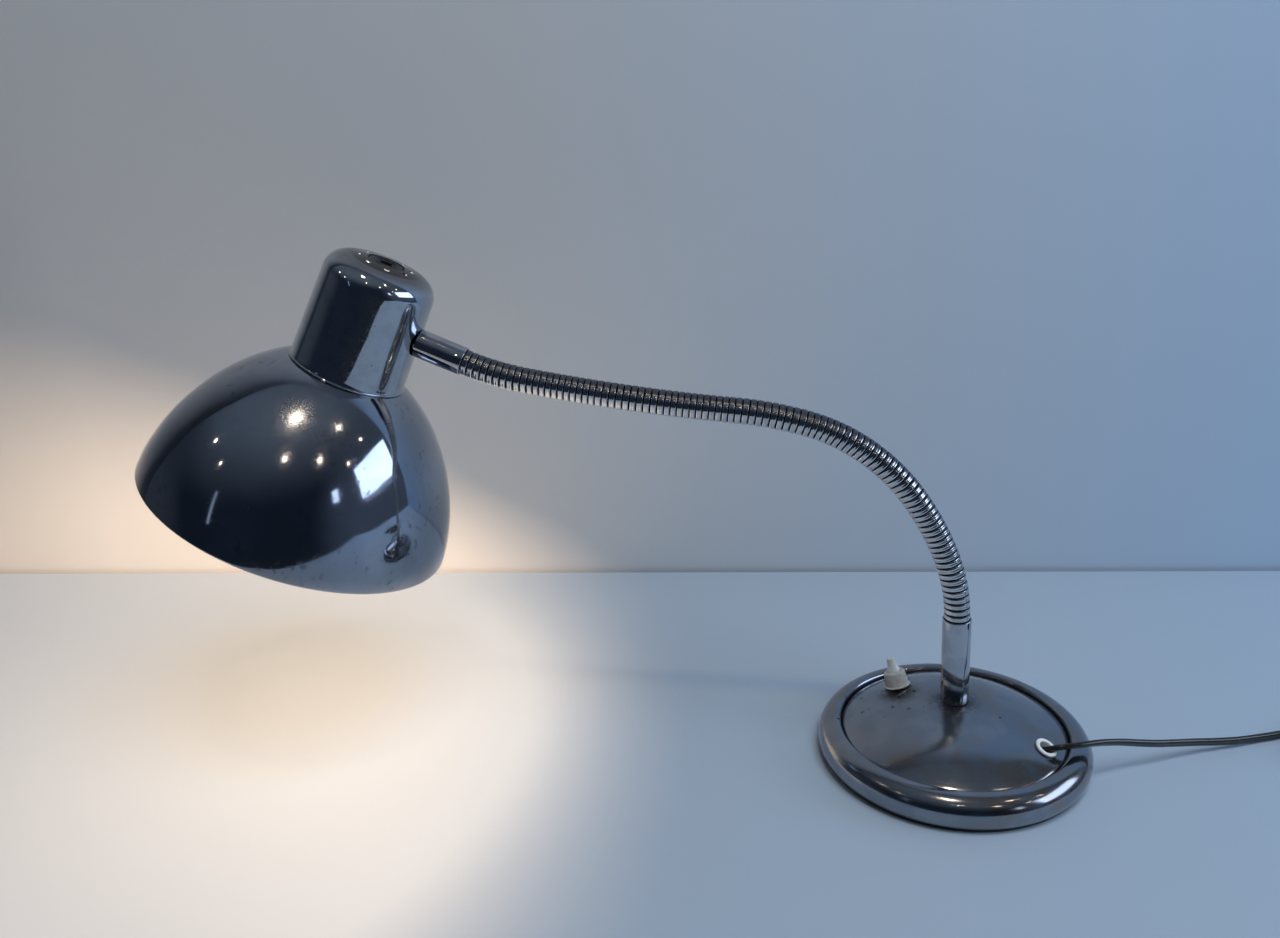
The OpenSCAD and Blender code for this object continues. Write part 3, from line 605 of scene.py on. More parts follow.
def mouldedPlastic(name, colour, swirled, gloss, index, swirl=2.5):
    # Pressed or injected plastic: an even colour with a slight swirl, and a skin that is never
    # quite flat; scuffs take the gloss off here and there.
    material, tree, shader, point = newFinish(name, {"IOR": index})
    mottled = patches(tree, point, swirl, 0.38, 0.66)
    scuffs = patches(tree, point, 1.1, 0.55, 0.7, 1.0)
    colours = covered(tree, colour, (mottled, swirled))
    rough = covered(tree, gloss, (mottled, gloss + 0.06), (scuffs, gloss + 0.18))
    normal = raised(tree, (patches(tree, point, 0.9, 0.3, 0.7, 1.0), 0.012))
    feed(tree, shader, {"Base Color": colours, "Roughness": rough, "Normal": normal})
    return material


def woolFelt():
    # Pressed black wool felt: matt, with short fibres and lint.
    values = {"Roughness": 0.95, "Sheen Weight": 0.4, "Sheen Roughness": 0.5}
    material, tree, shader, point = newFinish("black wool felt", values)
    fibres = patches(tree, point, 0.45, 0.35, 0.65, 4.0)
    lint = specks(tree, point, 3, 0.15, 0.4)
    colour = covered(tree, "#15161a", (fibres, "#212329"), (lint, "#5c5c5e"))
    feed(tree, shader, {"Base Color": colour, "Normal": raised(tree, (fibres, 0.15))})
    return material


def pearlGlass():
    # A bulb's glass, frosted on its inside, and warm with the light that comes through it.
    values = {"Roughness": 0.12, "IOR": 1.52, "Emission Strength": 0.75}
    material, tree, shader, point = newFinish("frosted bulb glass", values)
    frost = patches(tree, point, 5)
    colour = covered(tree, "#efe9df", (frost, "#e6dfd3"))
    glow = covered(tree, "#ffe0ae", (frost, "#ffd79c"))
    feed(tree, shader, {"Base Color": colour, "Emission Color": glow})
    return material


def tungsten():
    # The filament: drawn tungsten wire at white heat.
    values = {"Roughness": 0.5, "Emission Color": linear("#ffcf8a"), "Emission Strength": 3}
    material, tree, shader, point = newFinish("glowing tungsten wire", values)
    colour = covered(tree, "#8f8578", (patches(tree, point, 0.6), "#6f675c"))
    feed(tree, shader, {"Base Color": colour})
    return material


def cordVinyl():
    # Old brown-black vinyl flex: glossy, yellowed where it thins, with a soft unevenness.
    material, tree, shader, point = newFinish("aged vinyl flex", {"IOR": 1.53})
    yellowed = patches(tree, point, 14, 0.45, 0.65)
    dust = patches(tree, point, 1.5, 0.62, 0.8, 1.0)
    colour = covered(tree, "#15140f", (yellowed, "#26231a"), (dust, "#2b2a25"))
    rough = covered(tree, 0.16, (yellowed, 0.2), (dust, 0.32))
    normal = raised(tree, (patches(tree, point, 4, 0.3, 0.7, 1.0), 0.06))
    feed(tree, shader, {"Base Color": colour, "Roughness": rough, "Normal": normal})
    return material


finishes = {
    "chrome_shell": agedChrome(),
    "chrome_tube": tubeChrome(),
    "neck_chrome": neckChrome(),
    "cap_chrome": brightChrome(),
    "shade_metal": agedNickel(),
    "cast_iron": castIron(),
    "plain_steel": plainMetal("zinc-plated steel", "#9b9da1", "#84868b", 0.34),
    "spring_steel": plainMetal("spring steel wire", "#87888b", "#6c6d70", 0.3),
    "dark_nut": plainMetal("blackened steel", "#3b3c40", "#2a2a2d", 0.28),
    "brass_fitting": plainMetal("turned brass", "#b3935a", "#8d6f42", 0.26),
    "bulb_brass": plainMetal("tinned brass bulb cap", "#c4b78f", "#a3956c", 0.32),
    "felt": woolFelt(),
    "grommet_white": mouldedPlastic("white rubber bush", "#e3e2dc", "#d6d4cb", 0.42, 1.5),
    "ivory_bakelite": mouldedPlastic("ivory urea resin", "#b6b0a5", "#a8a296", 0.16, 1.55),
    "button_white": mouldedPlastic("white urea resin", "#cfcfcc", "#c3c3bf", 0.22, 1.55),
    "brown_bakelite": mouldedPlastic("brown phenolic resin", "#2b170e", "#3d2315", 0.2, 1.6, 6),
    "clamp_fibre": mouldedPlastic("vulcanised fibre", "#87603f", "#754f33", 0.55, 1.5),
    "wire_cover": mouldedPlastic("red-brown wire cover", "#5b211a", "#4b1a15", 0.4, 1.52),
    "cord_sheath": cordVinyl(),
    "black_tie": mouldedPlastic("black vinyl tie", "#141416", "#1c1c1f", 0.38, 1.52),
    "plug_black": mouldedPlastic("black moulded rubber", "#17171a", "#1f1f22", 0.46, 1.52),
    "bulb_glass": pearlGlass(),
    "filament": tungsten(),
}
lining = satinAluminium()

for part in frame["record"]["subparts"]:
    node = frame["nodes"][part["node"]]
    node.data.materials.clear()
    node.data.materials.append(finishes[part["material_slot"]])
print("finishes mixed:", len(finishes) + 1)


def dress(piece, slot, *more):  # gives a piece the finish of its slot in the record
    piece.data.materials.clear()
    for finish in (finishes[slot], *more):
        piece.data.materials.append(finish)


def finishOff(piece, angle, body, node, slot):  # what it moves with, stands in for and is made of
    smooth(piece, angle)
    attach(piece, body)
    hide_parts(node)
    dress(piece, slot)


dress(cord, "cord_sheath")

baseLook = {
    "rings": 44,  # over the dome
    "steps": 192,
    "grooveHalf": 0.42,  # half of the groove's width
    "grooveDeep": 0.15,
    "grooveSide": 0.25,  # height of its slanted side
    "grooveSlope": 0.35,  # width of the slant
    "lip": 2.6,  # rounding of the rim's inner edge
    "stemHole": 5.4,  # radii of the holes
    "switchHole": 5.5,
    "bushHole": 4.8,
    "drilled": 12,  # length of the drill
}


def rimOutline():
    # Groove, the rim's inner edge, its crest, the outer side and the foot.
    half = baseLook["grooveHalf"]
    low = base["grooveHeight"] - baseLook["grooveDeep"]
    groove = [(grooveRadius - half, low + baseLook["grooveSide"]), (grooveRadius - 0.5 * half, low)]
    groove += [(grooveRadius + 0.4 * half, low)]
    edge = baseLook["lip"]
    lip = rounded((grooveRadius + half + edge, base["rimTop"] - edge), edge, 180, 93, 8)
    centre = (base["radius"] - base["rimRound"], rimHeight)
    crest = rounded(centre, base["rimRound"], 83, 0, 24)
    dip = math.degrees(math.asin((rimHeight - base["felt"]) / base["footRound"]))
    foot = rounded((base["radius"] - base["footRound"], rimHeight), base["footRound"], -6, -dip, 9)
    return groove + lip + crest + foot


def addDome():
    reach = grooveRadius - baseLook["grooveHalf"] - baseLook["grooveSlope"]
    rings = baseLook["rings"]
    dome = [(reach * k / rings, domeHeight(reach * k / rings)) for k in range(rings + 1)]
    shell = turned("base_dome", dome + rimOutline(), baseLook["steps"])
    walled(shell, base["wall"])
    for place, hole in ((onStem, "stemHole"), (onSwitch, "switchHole"), (onGrommet, "bushHole")):
        drill(shell, place, baseLook[hole], baseLook["drilled"])
    finishOff(shell, 40, "base", "base_shell", "chrome_shell")


addDome()

bush = {
    "bore": 3.75,
    "collar": 6,  # radius of the collar on the dome
    "barb": 5.2,  # radius of the end inside
    "waist": 4.7,  # and between the two
    "inside": -3,  # where it ends
    "seat": 0.16,  # height of the collar's underside
    "round": 0.75,
}


def addGrommet():
    # A moulded bush: a soft round collar on the dome and a neck through it.
    bore, collar, barb, waist = [bush[part] for part in ("bore", "collar", "barb", "waist")]
    r = bush["round"]
    seat = bush["seat"]
    outline = [(bore, bush["inside"]), (barb, bush["inside"]), (barb, -1.55), (waist, -1.5)]
    outline += [(waist, seat), (collar - 0.1, seat)] + rounded((collar - r, 0.85), r, -30, 90, 7)
    outline += rounded((bore + r, 0.85), r, 90, 180, 6)
    piece = turned("cord_grommet", outline, 64, closed=True)
    settle(piece, onGrommet)
    finishOff(piece, 50, "base", "grommet", "grommet_white")


addGrommet()

button = {
    "nutFoot": 7.5,  # radius of the nut's flange
    "nutBore": 5.45,
    "nutSeat": 0.25,  # height of its underside
    "nutTop": 9.8,
    "lipUnder": 8,  # height of the underside of its lip
    "gap": 0.1,  # between its lip and the button
    "radius": 3.7,
    "tip": 17.6,
    "rod": 1.6,  # radius of the rod that the button stands on
    "rodFoot": 5,
    "underside": 8.1,
    "edge": 0.65,  # rounding of the button's tip
}


def addSwitchNut():
    foot = button["nutFoot"]
    bore = button["nutBore"]
    seat = button["nutSeat"]
    top = button["nutTop"]
    under = button["lipUnder"]
    inner = button["radius"] + button["gap"]
    outline = [(bore, seat), (foot - 0.5, seat)] + rounded((foot - 0.6, 0.9), 0.6, -70, 65, 8)
    outline += [(foot - 0.8, 1.55), (foot - 0.85, 1.8)]
    outline += [(foot - 0.9, 3.4), (foot - 1.05, 5.4), (foot - 1.25, 7.3)]
    outline += rounded((foot - 2.4, 8.5), 1.1, 5, 75, 7)
    outline += [(inner + 0.45, top), (inner, top - 0.35), (inner, under), (bore, under)]
    piece = turned("switch_nut", outline, 72, closed=True)
    settle(piece, onSwitch)
    finishOff(piece, 38, "base", "switch_collar", "ivory_bakelite")


def addButton():
    r = button["radius"]
    rod = button["rod"]
    under = button["underside"]
    tip = button["tip"]
    edge = button["edge"]
    outline = [(0, button["rodFoot"]), (rod, button["rodFoot"]), (rod, under)]
    outline += [(r, under + 0.3), (r, 10.3), (r - 0.12, 11), (r - 0.5, 12.2), (r - 0.85, 13.8)]
    outline += [(r - 1.1, 15.6)] + rounded((r - 1.85, tip - edge), edge, 0, 85, 6)
    outline += [(1, tip), (0, tip)]
    piece = turned("switch_button", outline, 64)
    settle(piece, onSwitch)
    finishOff(piece, 45, "button", "switch_plunger", "button_white")


addSwitchNut()
addButton()
print("base and switch made")

tube = {
    "radius": 7.8,
    "bore": 7.1,
    "mouth": 7.2,  # radius of the bore's flared end
    "edge": 0.45,  # rounding of the ends
    "stemFoot": 0.15,  # height over the dome
    "stemBore": 5.1,  # below the neck's seat
    "stemSeat": 12,  # how far the neck goes in
    "ferruleSeat": 12.5,
    "spigot": 5,  # radius of the ferrule's thin end, which goes into the cap
    "spigotBore": 3.3,
    "spigotLength": 8,
}


def addStem():
    r = tube["radius"]
    e = tube["edge"]
    low = tube["stemFoot"]
    length = places["stemLength"]
    seat = length - tube["stemSeat"]
    outline = [(tube["stemBore"], low), (r - e, low)] + rounded((r - e, low + e), e, -90, 0, 4)
    outline += [(r, length * k / 6) for k in range(1, 6)]
    outline += rounded((r - e, length - e), e, 0, 90, 5) + [(tube["mouth"], length)]
    outline += [(tube["bore"], length - 0.3), (tube["bore"], seat), (tube["stemBore"], seat - 0.6)]
    piece = turned("stem_tube", outline, 96, closed=True)
    settle(piece, onStem)
    finishOff(piece, 40, "base", "stem", "chrome_tube")


def addFerrule():
    r = tube["radius"]
    e = tube["edge"]
    seat = tube["ferruleSeat"]
    length = places["ferruleLength"]
    end = length + tube["spigotLength"]
    outline = [(tube["mouth"], 0), (r - e, 0)] + rounded((r - e, e), e, -90, 0, 4)
    outline += [(r, length * k / 5) for k in range(1, 5)]
    outline += [(r, length - 0.6), (tube["spigot"], length - 0.6), (tube["spigot"], end)]
    outline += [(tube["spigotBore"], end), (tube["spigotBore"], seat)]
    outline += [(tube["bore"], seat), (tube["bore"], 0.3)]
    piece = turned("neck_ferrule", outline, 96, closed=True)
    settle(piece, onFerrule)
    finishOff(piece, 40, "head", "head_ferrule", "chrome_tube")


addStem()
addFerrule()

neck = {
    "radius": 7,
    "groove": 0.62,  # depth of the gap between two ribs
    "crown": 0.04,  # rise of a rib's middle over its edges
    "turns": (10, 11, 10, 11, 10, 11, 10, 11, 10),  # ribs on each stretch
    "steps": 48,
    "wall": 0.45,
    "weld": 0.01,  # ribs' edges closer than this are joined
    "dirtAndShade": (0.15, 0.4),  # depth where the dirt and painted shade start, and over which they grow
    "dustAndShadeOnTop": 0.25,  # how far round the sides the grey of its top, dust and painted shade, reaches
}


def neckLine():
    # The neck's middle: a curve of second degree that bends round each pivot.
    line, spline = newCurve("neck_line", "NURBS", 48)
    points = [stemTop] + bends + [neckEnd]
    spline.points.add(len(points) - 1)
    for knot, point in zip(spline.points, points):
        knot.co = (*point, 1)
    spline.order_u = 3
    spline.use_endpoint_u = True
    return newObject("neck_line", line)


def stretchPoint(a, b, c, t):  # on the curve from a to c that bends round b
    return a * (1 - t) ** 2 + b * 2 * t * (1 - t) + c * t * t


def stretchLength(a, b, c):
    count = 200
    points = [stretchPoint(a, b, c, k / count) for k in range(count + 1)]
    return sum((q - p).length for p, q in zip(points, points[1:]))


def ribOutline(pitch):  # one rib and the gap above it, from 0 to pitch
    r = neck["radius"]
    low = r - neck["groove"]
    crown = neck["crown"]
    shares = [  # radius, share of the pitch
        (low, 0), (low, 0.09), (r - 0.16, 0.11), (r - crown, 0.15), (r - 0.3 * crown, 0.3),
        (r, 0.46), (r - 0.06, 0.5), (r, 0.54),
        (r - 0.3 * crown, 0.7), (r - crown, 0.85), (r - 0.16, 0.89), (low, 0.91), (low, 1),
    ]
    return [(radius, share * pitch) for radius, share in shares]


def addNeck():
    line = neckLine()
    ends = [stemTop] + [(p + q) / 2 for p, q in zip(bends, bends[1:])] + [neckEnd]
    clean, grows = neck["dirtAndShade"]
    start = 0
    for k, count in enumerate(neck["turns"]):
        length = stretchLength(ends[k], bends[k], ends[k + 1])
        pitch = length / mm / count
        rib = turned(f"neck_sleeve_{k + 1}", ribOutline(pitch), neck["steps"])
        # Dirt and painted shade in the gaps between ribs, darker the deeper
        dirtAndShade = rib.data.attributes.new("grooveDirtAndShade", "FLOAT", "POINT")
        for vertex in rib.data.vertices:
            depth = neck["radius"] - vertex.co.xy.length / mm
            dirtAndShade.data[vertex.index].value = min(1, max(0, (depth - clean) / grows))
        stack = rib.modifiers.new("ribs", "ARRAY")
        stack.use_relative_offset = False
        stack.use_constant_offset = True
        stack.constant_offset_displace = (0, 0, pitch * mm)
        stack.count = count
        stack.use_merge_vertices = True
        stack.merge_threshold = neck["weld"] * mm
        applyAll(rib)
        # Laid along X from where the stretch starts, for the curve to bend.
        settle(rib, Matrix.Translation((start, 0, 0)) @ turn("Y", 90))
        bend = rib.modifiers.new("bend", "CURVE")
        bend.object = line
        bend.deform_axis = "POS_X"
        applyAll(rib)
        # Dust and painted shade on its top, by how far each point faces up
        dustAndShadeOnTop = rib.data.attributes.new("topDustAndShade", "FLOAT", "POINT")
        for vertex in rib.data.vertices:
            dustAndShadeOnTop.data[vertex.index].value = min(1, max(0, vertex.normal.z + neck["dustAndShadeOnTop"]))
        walled(rib, neck["wall"])
        smooth(rib, 50)
        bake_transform(rib)
        dress(rib, "neck_chrome")
        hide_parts(*(["neck_link_0"] if k == 0 else []), f"neck_link_{k + 1}")
        start += length
    bpy.data.objects.remove(line)


addNeck()
print("neck made of", sum(neck["turns"]), "ribs")

cap = {
    "radius": 31.7,
    "height": 65,
    "taper": 1.4,
    "round": 11.3,
    "dome": 2,
    "recess": 9.8,
    "recessDeep": 2.5,
    "wall": 0.6,
    "crownRows": 11,
    "sideRows": 24,
    "bead": 0.75,  # radius of the rolled lower edge
    "vents": 8,
    "ventRadius": 1.4,
    "ventCircle": 14,
    "tubeHole": 5.1,  # radius of the holes for the threaded tube and the ferrule
    "drilled": (12, 8, 16),  # length of the drill in its middle, at a vent and at the ferrule
}


def addCap():
    top = cap["radius"] - cap["taper"]
    shoulder = top - cap["round"]
    r = cap["recess"]
    floor = -cap["recessDeep"]
    outline = [(0, floor), (5.6, floor), (r - 0.5, floor)]
    outline += rounded((r - 0.3, floor + 0.3), 0.3, -60, 0, 2)
    outline += rounded((r + 0.55, -cap["dome"] * 0.27 - 0.5), 0.5, 180, 100, 4)
    for k in range(cap["crownRows"] + 1):
        x = r + 0.9 + (shoulder - r - 0.9) * k / cap["crownRows"]
        outline.append((x, -cap["dome"] * (x / shoulder) ** 2))
    outline += rounded((shoulder, -cap["dome"] - cap["round"]), cap["round"], 86, 2, 26)
    side = -cap["dome"] - cap["round"] - 1
    low = -cap["height"] + 2 * cap["bead"]
    for k in range(1, cap["sideRows"]):
        share = k / cap["sideRows"]
        outline.append((top + cap["taper"] * share, side + (low - side) * share))
    outline += [(cap["radius"] - 0.05, low + 0.3)]
    outline += rounded((cap["radius"] - 0.1, -cap["height"] + cap["bead"]), cap["bead"], 75, -80, 9)
    piece = turned("lamp_cap", outline, 160)
    walled(piece, cap["wall"])
    inMiddle, atVent, atFerrule = cap["drilled"]
    drill(piece, shift(0, 0, 0), cap["tubeHole"], inMiddle)
    for k in range(cap["vents"]):
        spot = turn("Z", 360 * (k + 0.5) / cap["vents"]) @ shift(cap["ventCircle"], 0, -cap["dome"])
        drill(piece, spot, cap["ventRadius"], atVent)
    settle(piece, onHead)
    drill(piece, onFerrule @ shift(0, 0, places["ferruleLength"]), cap["tubeHole"], atFerrule)
    finishOff(piece, 40, "head", "cap_shell", "cap_chrome")


lockNut = {
    "bore": 5.05,
    "gap": 0.3,  # to the side of the recess
    "height": 1.7,
    "round": 0.6,
    "tube": 5,  # radius of the threaded tube in it
    "tubeBore": 3.5,
    "tubeTop": -1,  # from the cap's top
    "tubeFoot": -15,
    "plugged": 1.8,  # how far down an insulating plug closes the tube
}


def addLockNut():
    # A turned nut with a bevelled edge and a ring cut in its face.
    seat = -cap["recessDeep"]
    r = cap["recess"] - lockNut["gap"]
    top = seat + lockNut["height"]
    edge = lockNut["round"]
    bore = lockNut["bore"]
    outline = [(bore, seat), (r, seat), (r, top - edge)] + rounded((r - edge, top - edge), edge, 0, 90, 4)
    outline += [(7.4, top), (7.1, top - 0.25), (6, top - 0.3), (5.5, top - 0.1), (bore, top - 0.3)]
    piece = turned("cap_lock_nut", outline, 72, closed=True)
    settle(piece, onHead)
    finishOff(piece, 35, "head", "cap_nut", "dark_nut")


def addNipple():
    # The threaded tube, whose end shows in the nut.
    low = lockNut["tubeFoot"]
    top = lockNut["tubeTop"]
    r = lockNut["tube"]
    bore = lockNut["tubeBore"]
    plugTop = top - lockNut["plugged"]
    outline = [(0, low), (r, low), (r, top - 0.5), (r - 0.4, top), (bore + 0.3, top)]
    outline += [(bore, top - 0.3), (bore, plugTop), (0, plugTop)]
    piece = turned("cap_nipple", outline, 48)
    settle(piece, onHead)
    finishOff(piece, 35, "head", "holder_nipple", "dark_nut")


addCap()
addLockNut()
addNipple()
print("cap made")

shade = {
    "rim": 87.7,
    "drop": 153.3,  # from the cap's top to the rim
    "full": 1.6,  # fullness of the curve
    "wall": 0.8,
    "seam": 0.3,  # gap between the cap's edge and the curve
    "collar": 30.4,  # radius of the part inside the cap
    "collarHeight": 6,
    "collarRound": 1.4,
    "flange": 20,  # radius of the hole in its top
    "rows": 60,
    "steps": 224,
    "bead": 0.7,  # radius of the turned-over edge
}


def shadeRadius(h):
    # Half an oval, an ellipse where "full" is 2: widest at the rim and as wide as the cap at its edge.
    narrowed = 1 - (cap["radius"] / shade["rim"]) ** 2
    rise = (shade["drop"] - cap["height"]) / narrowed ** (1 / shade["full"])
    return shade["rim"] * math.sqrt(max(0, 1 - (h / rise) ** shade["full"]))


def addShade():
    top = shade["drop"] - cap["height"] - shade["seam"]
    flangeHeight = -cap["height"] + shade["collarHeight"]
    collar = shade["collar"]
    r = shade["collarRound"]
    outline = [(shade["flange"], flangeHeight), (24, flangeHeight), (28, flangeHeight)]
    outline += rounded((collar - r, flangeHeight - r), r, 90, 0, 5)
    outline += [(collar, -cap["height"] + 1), (collar, -cap["height"] - 0.1)]
    rows = shade["rows"]
    for k in range(rows, 0, -1):
        h = top * math.sin(math.pi / 2 * k / rows)
        outline.append((shadeRadius(h), h - shade["drop"]))
    bead = shade["bead"]
    outline += [(shade["rim"] - 0.02, 1.2 - shade["drop"])]
    outline += rounded((shade["rim"] - bead, bead - shade["drop"]), bead, 10, -110, 6)
    piece = turned("lamp_shade", outline, shade["steps"])
    dress(piece, "shade_metal", lining)
    walled(piece, shade["wall"], lined=True)
    settle(piece, onHead)
    smooth(piece, 40)
    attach(piece, "head")
    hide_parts("shade")


addShade()
print("shade made")

plug = {
    "start": (279, -24, 7),  # where the cord goes in
    # Distance from there, half of the width and half of the height
    "stations": [
        (0, 5, 5), (2.5, 6.3, 5.6), (6, 9.4, 6.2), (10, 13.7, 6.7), (14, 16.8, 6.9),
        (18, 17.4, 6.95), (28, 17.4, 6.95), (31.5, 16.9, 6.7), (33.4, 15.4, 6.1), (34, 13.8, 5.4),
    ],
    "corner": 3.6,  # rounding of its section
    "grips": (19, 22.5, 26),  # where the cross grooves of the grip lie
    "gripRound": 1.1,
    "gripAxis": 7.5,  # from the plug's middle to a groove's axis
    "gripWidth": 30,
    "reliefLength": 20,
    "reliefRings": 5,
    "reliefRadii": (4.6, 3.3),  # at the plug and at its end
    "reliefCut": 0.75,  # depth of its rings
    "reliefShares": (0.35, 0.72),  # where a ring is cut, as shares of the distance between two
    "reliefIn": 0.3,  # how far it goes into the plug
}


def addPlug():
    # Its rounded section is drawn out from station to station, then the grip is cut.
    clearSelection()
    bpy.ops.mesh.primitive_plane_add(size=2 * mm)
    body = bpy.context.object
    body.name = "plug_shell"
    bpy.ops.object.mode_set(mode="EDIT")
    bpy.ops.mesh.select_all(action="SELECT")
    away, wide, tall = plug["stations"][0]
    bpy.ops.transform.resize(value=(wide, tall, 1))
    bpy.ops.mesh.bevel(offset=plug["corner"] * mm, segments=5, affect="VERTICES")
    for there, nextWide, nextTall in plug["stations"][1:]:
        step = (0, 0, (there - away) * mm)
        bpy.ops.mesh.extrude_region_move(TRANSFORM_OT_translate={"value": step})
        bpy.ops.transform.resize(value=(nextWide / wide, nextTall / tall, 1))
        away, wide, tall = there, nextWide, nextTall
    closeUp()
    for there in plug["grips"]:
        for side in (-1, 1):
            spot = shift(0, side * plug["gripAxis"], there) @ turn("Y", 90)
            drill(body, spot, plug["gripRound"], plug["gripWidth"])
    settle(body, shift(*plug["start"]) @ turn("X", 90))
    finishOff(body, 40, "base", "plug_body", "plug_black")


def addRelief():
    # A tapered sleeve moulded on the cord, with rings cut in it so that it bends evenly.
    length = plug["reliefLength"]
    rings = plug["reliefRings"]
    thick, thin = plug["reliefRadii"]
    cut = plug["reliefCut"]
    opens, closes = plug["reliefShares"]
    outline = [(0, 0), (thick, 0)]
    for k in range(rings):
        start, end = (k + opens) / rings, (k + closes) / rings
        first, last = thick + (thin - thick) * start, thick + (thin - thick) * end
        outline += [(first, length * start), (first - cut, length * start + 0.35)]
        outline += [(last - cut, length * end - 0.35), (last, length * end)]
    outline += rounded((thin - 0.6, length - 0.6), 0.6, 0, 70, 4) + [(2.3, length), (0, length - 0.5)]
    sleeve = turned("plug_relief", outline, 40)
    x, y, z = plug["start"]
    settle(sleeve, shift(x, y - plug["reliefIn"], z) @ turn("X", -90))
    smooth(sleeve, 40)
    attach(sleeve, "base")
    dress(sleeve, "plug_black")


tie = {
    "width": 5,
    "thickness": 0.8,
    "corner": 2.2,
    "bevel": 0.2,
}


def addTie():
    # A flat strap in a closed loop round the coil.
    low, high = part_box("cord_tie")
    low = low / mm
    high = high / mm
    t = tie["thickness"]
    r = tie["corner"]
    left, right = low.y + t / 2, high.y - t / 2
    foot, top = low.z + t / 2, high.z - t / 2
    corners = [(right - r, foot + r, -90), (right - r, top - r, 0)]
    corners += [(left + r, top - r, 90), (left + r, foot + r, 180)]
    outline = []
    for y, z, start in corners:
        outline += rounded((y, z), r, start, start + 90, 5)
    strap = drawn("coil_strap", [(low.x, y, z) for y, z in outline + outline[:1]])
    bpy.ops.mesh.remove_doubles(threshold=weld)
    bpy.ops.mesh.extrude_region_move(TRANSFORM_OT_translate={"value": (tie["width"] * mm, 0, 0)})
    closeUp()
    wall = strap.modifiers.new("wall", "SOLIDIFY")
    wall.thickness = t * mm
    wall.offset = 0
    wall.use_even_offset = True
    edge = strap.modifiers.new("edge", "BEVEL")
    edge.width = tie["bevel"] * mm
    edge.segments = 2
    edge.limit_method = "ANGLE"
    applyAll(strap)
    settle(strap)
    finishOff(strap, 40, "base", "cord_tie", "black_tie")


addPlug()
addRelief()
addTie()
print("plug and tie made")

room = {
    "turn": 4.4,  # degrees that the table and the wall are turned from the lamp
    # Metres, from the lamp's middle
    "wall": 0.25,
    "front": -0.59,
    "left": -1.9,
    "right": 0.63,
    "height": 2.2,  # of the wall
    "below": 0.1,  # how far the wall goes on below the table
    "gap": 0.004,  # between the table and the wall
    # Left, right, where the colour is tinted blue as painted daylight, and far off or high up, darker as painted
    # shade where the daylight doesn't reach
    "tableColours": ("#aab0b5", "#a0b0bd", "#a0b0bd"),
    "wallColours": ("#ccc9c5", "#abc6de", "#5a616b"),
    "tableRough": 0.7,
    "wallRough": 0.8,
    # Millimetres over which the colour changes: to the right for the painted daylight, upwards and far to the left
    # for the painted shade
    "paintedDaylight": (-300, 450),
    "above": (450, 1400),
    "paintedShadeFar": (-650, -1300),
}
square = turn("Z", room["turn"])


def stageFinish(name, colours, rough):
    # Painted board: pale and smooth, with painted daylight and painted shade in its colour; from behind it isn't
    # there, so that every side can be seen.
    material, tree, shader, point = newFinish(name, {"Roughness": rough})
    left, right, dim = colours
    place = addNode(tree, "ShaderNodeSeparateXYZ", {0: point}).node.outputs
    # Masks of the painted daylight to the right, and of the painted shade high up and far to the left
    paintedDaylight, above, paintedShadeFar = [
        addNode(tree, "ShaderNodeMapRange", {0: place[axis], 1: room[way][0], 2: room[way][1]})
        for axis, way in (("X", "paintedDaylight"), ("Z", "above"), ("X", "paintedShadeFar"))
    ]
    colour = covered(tree, left, (paintedDaylight, right), (above, dim), (paintedShadeFar, dim))
    feed(tree, shader, {"Base Color": colour})
    back = addNode(tree, "ShaderNodeNewGeometry", {}, out="Backfacing")
    clear = addNode(tree, "ShaderNodeBsdfTransparent", {})
    seen = addNode(tree, "ShaderNodeMixShader", {0: back, 1: shader.outputs[0], 2: clear})
    tree.links.new(seen, tree.nodes["Material Output"].inputs["Surface"])
    return material


def addBoard(name, place, width, depth, finish):
    clearSelection()
    bpy.ops.mesh.primitive_plane_add(size=1)
    board = bpy.context.object
    board.name = name
    board.scale = (width, depth, 1)
    settle(board)
    settle(board, place)
    board.data.materials.append(finish)


def addRoom():
    middle = (room["left"] + room["right"]) / 2
    width = room["right"] - room["left"]
    depth = room["wall"] - room["front"]
    floor = square @ Matrix.Translation((middle, room["wall"] - room["gap"] - depth / 2, 0))
    laminate = stageFinish("white laminate", room["tableColours"], room["tableRough"])
    addBoard("table_top", floor, width, depth, laminate)
    rise = room["height"] / 2 - room["below"]
    back = square @ Matrix.Translation((middle, room["wall"], rise)) @ turn("X", 90)
    paint = stageFinish("matt wall paint", room["wallColours"], room["wallRough"])
    addBoard("wall", back, width, room["height"], paint)


def toward(azimuth, rise):  # a direction: azimuth from the front towards +X, in degrees
    a = math.radians(azimuth)
    e = math.radians(rise)
    return Vector((math.sin(a) * math.cos(e), -math.cos(a) * math.cos(e), math.sin(e)))


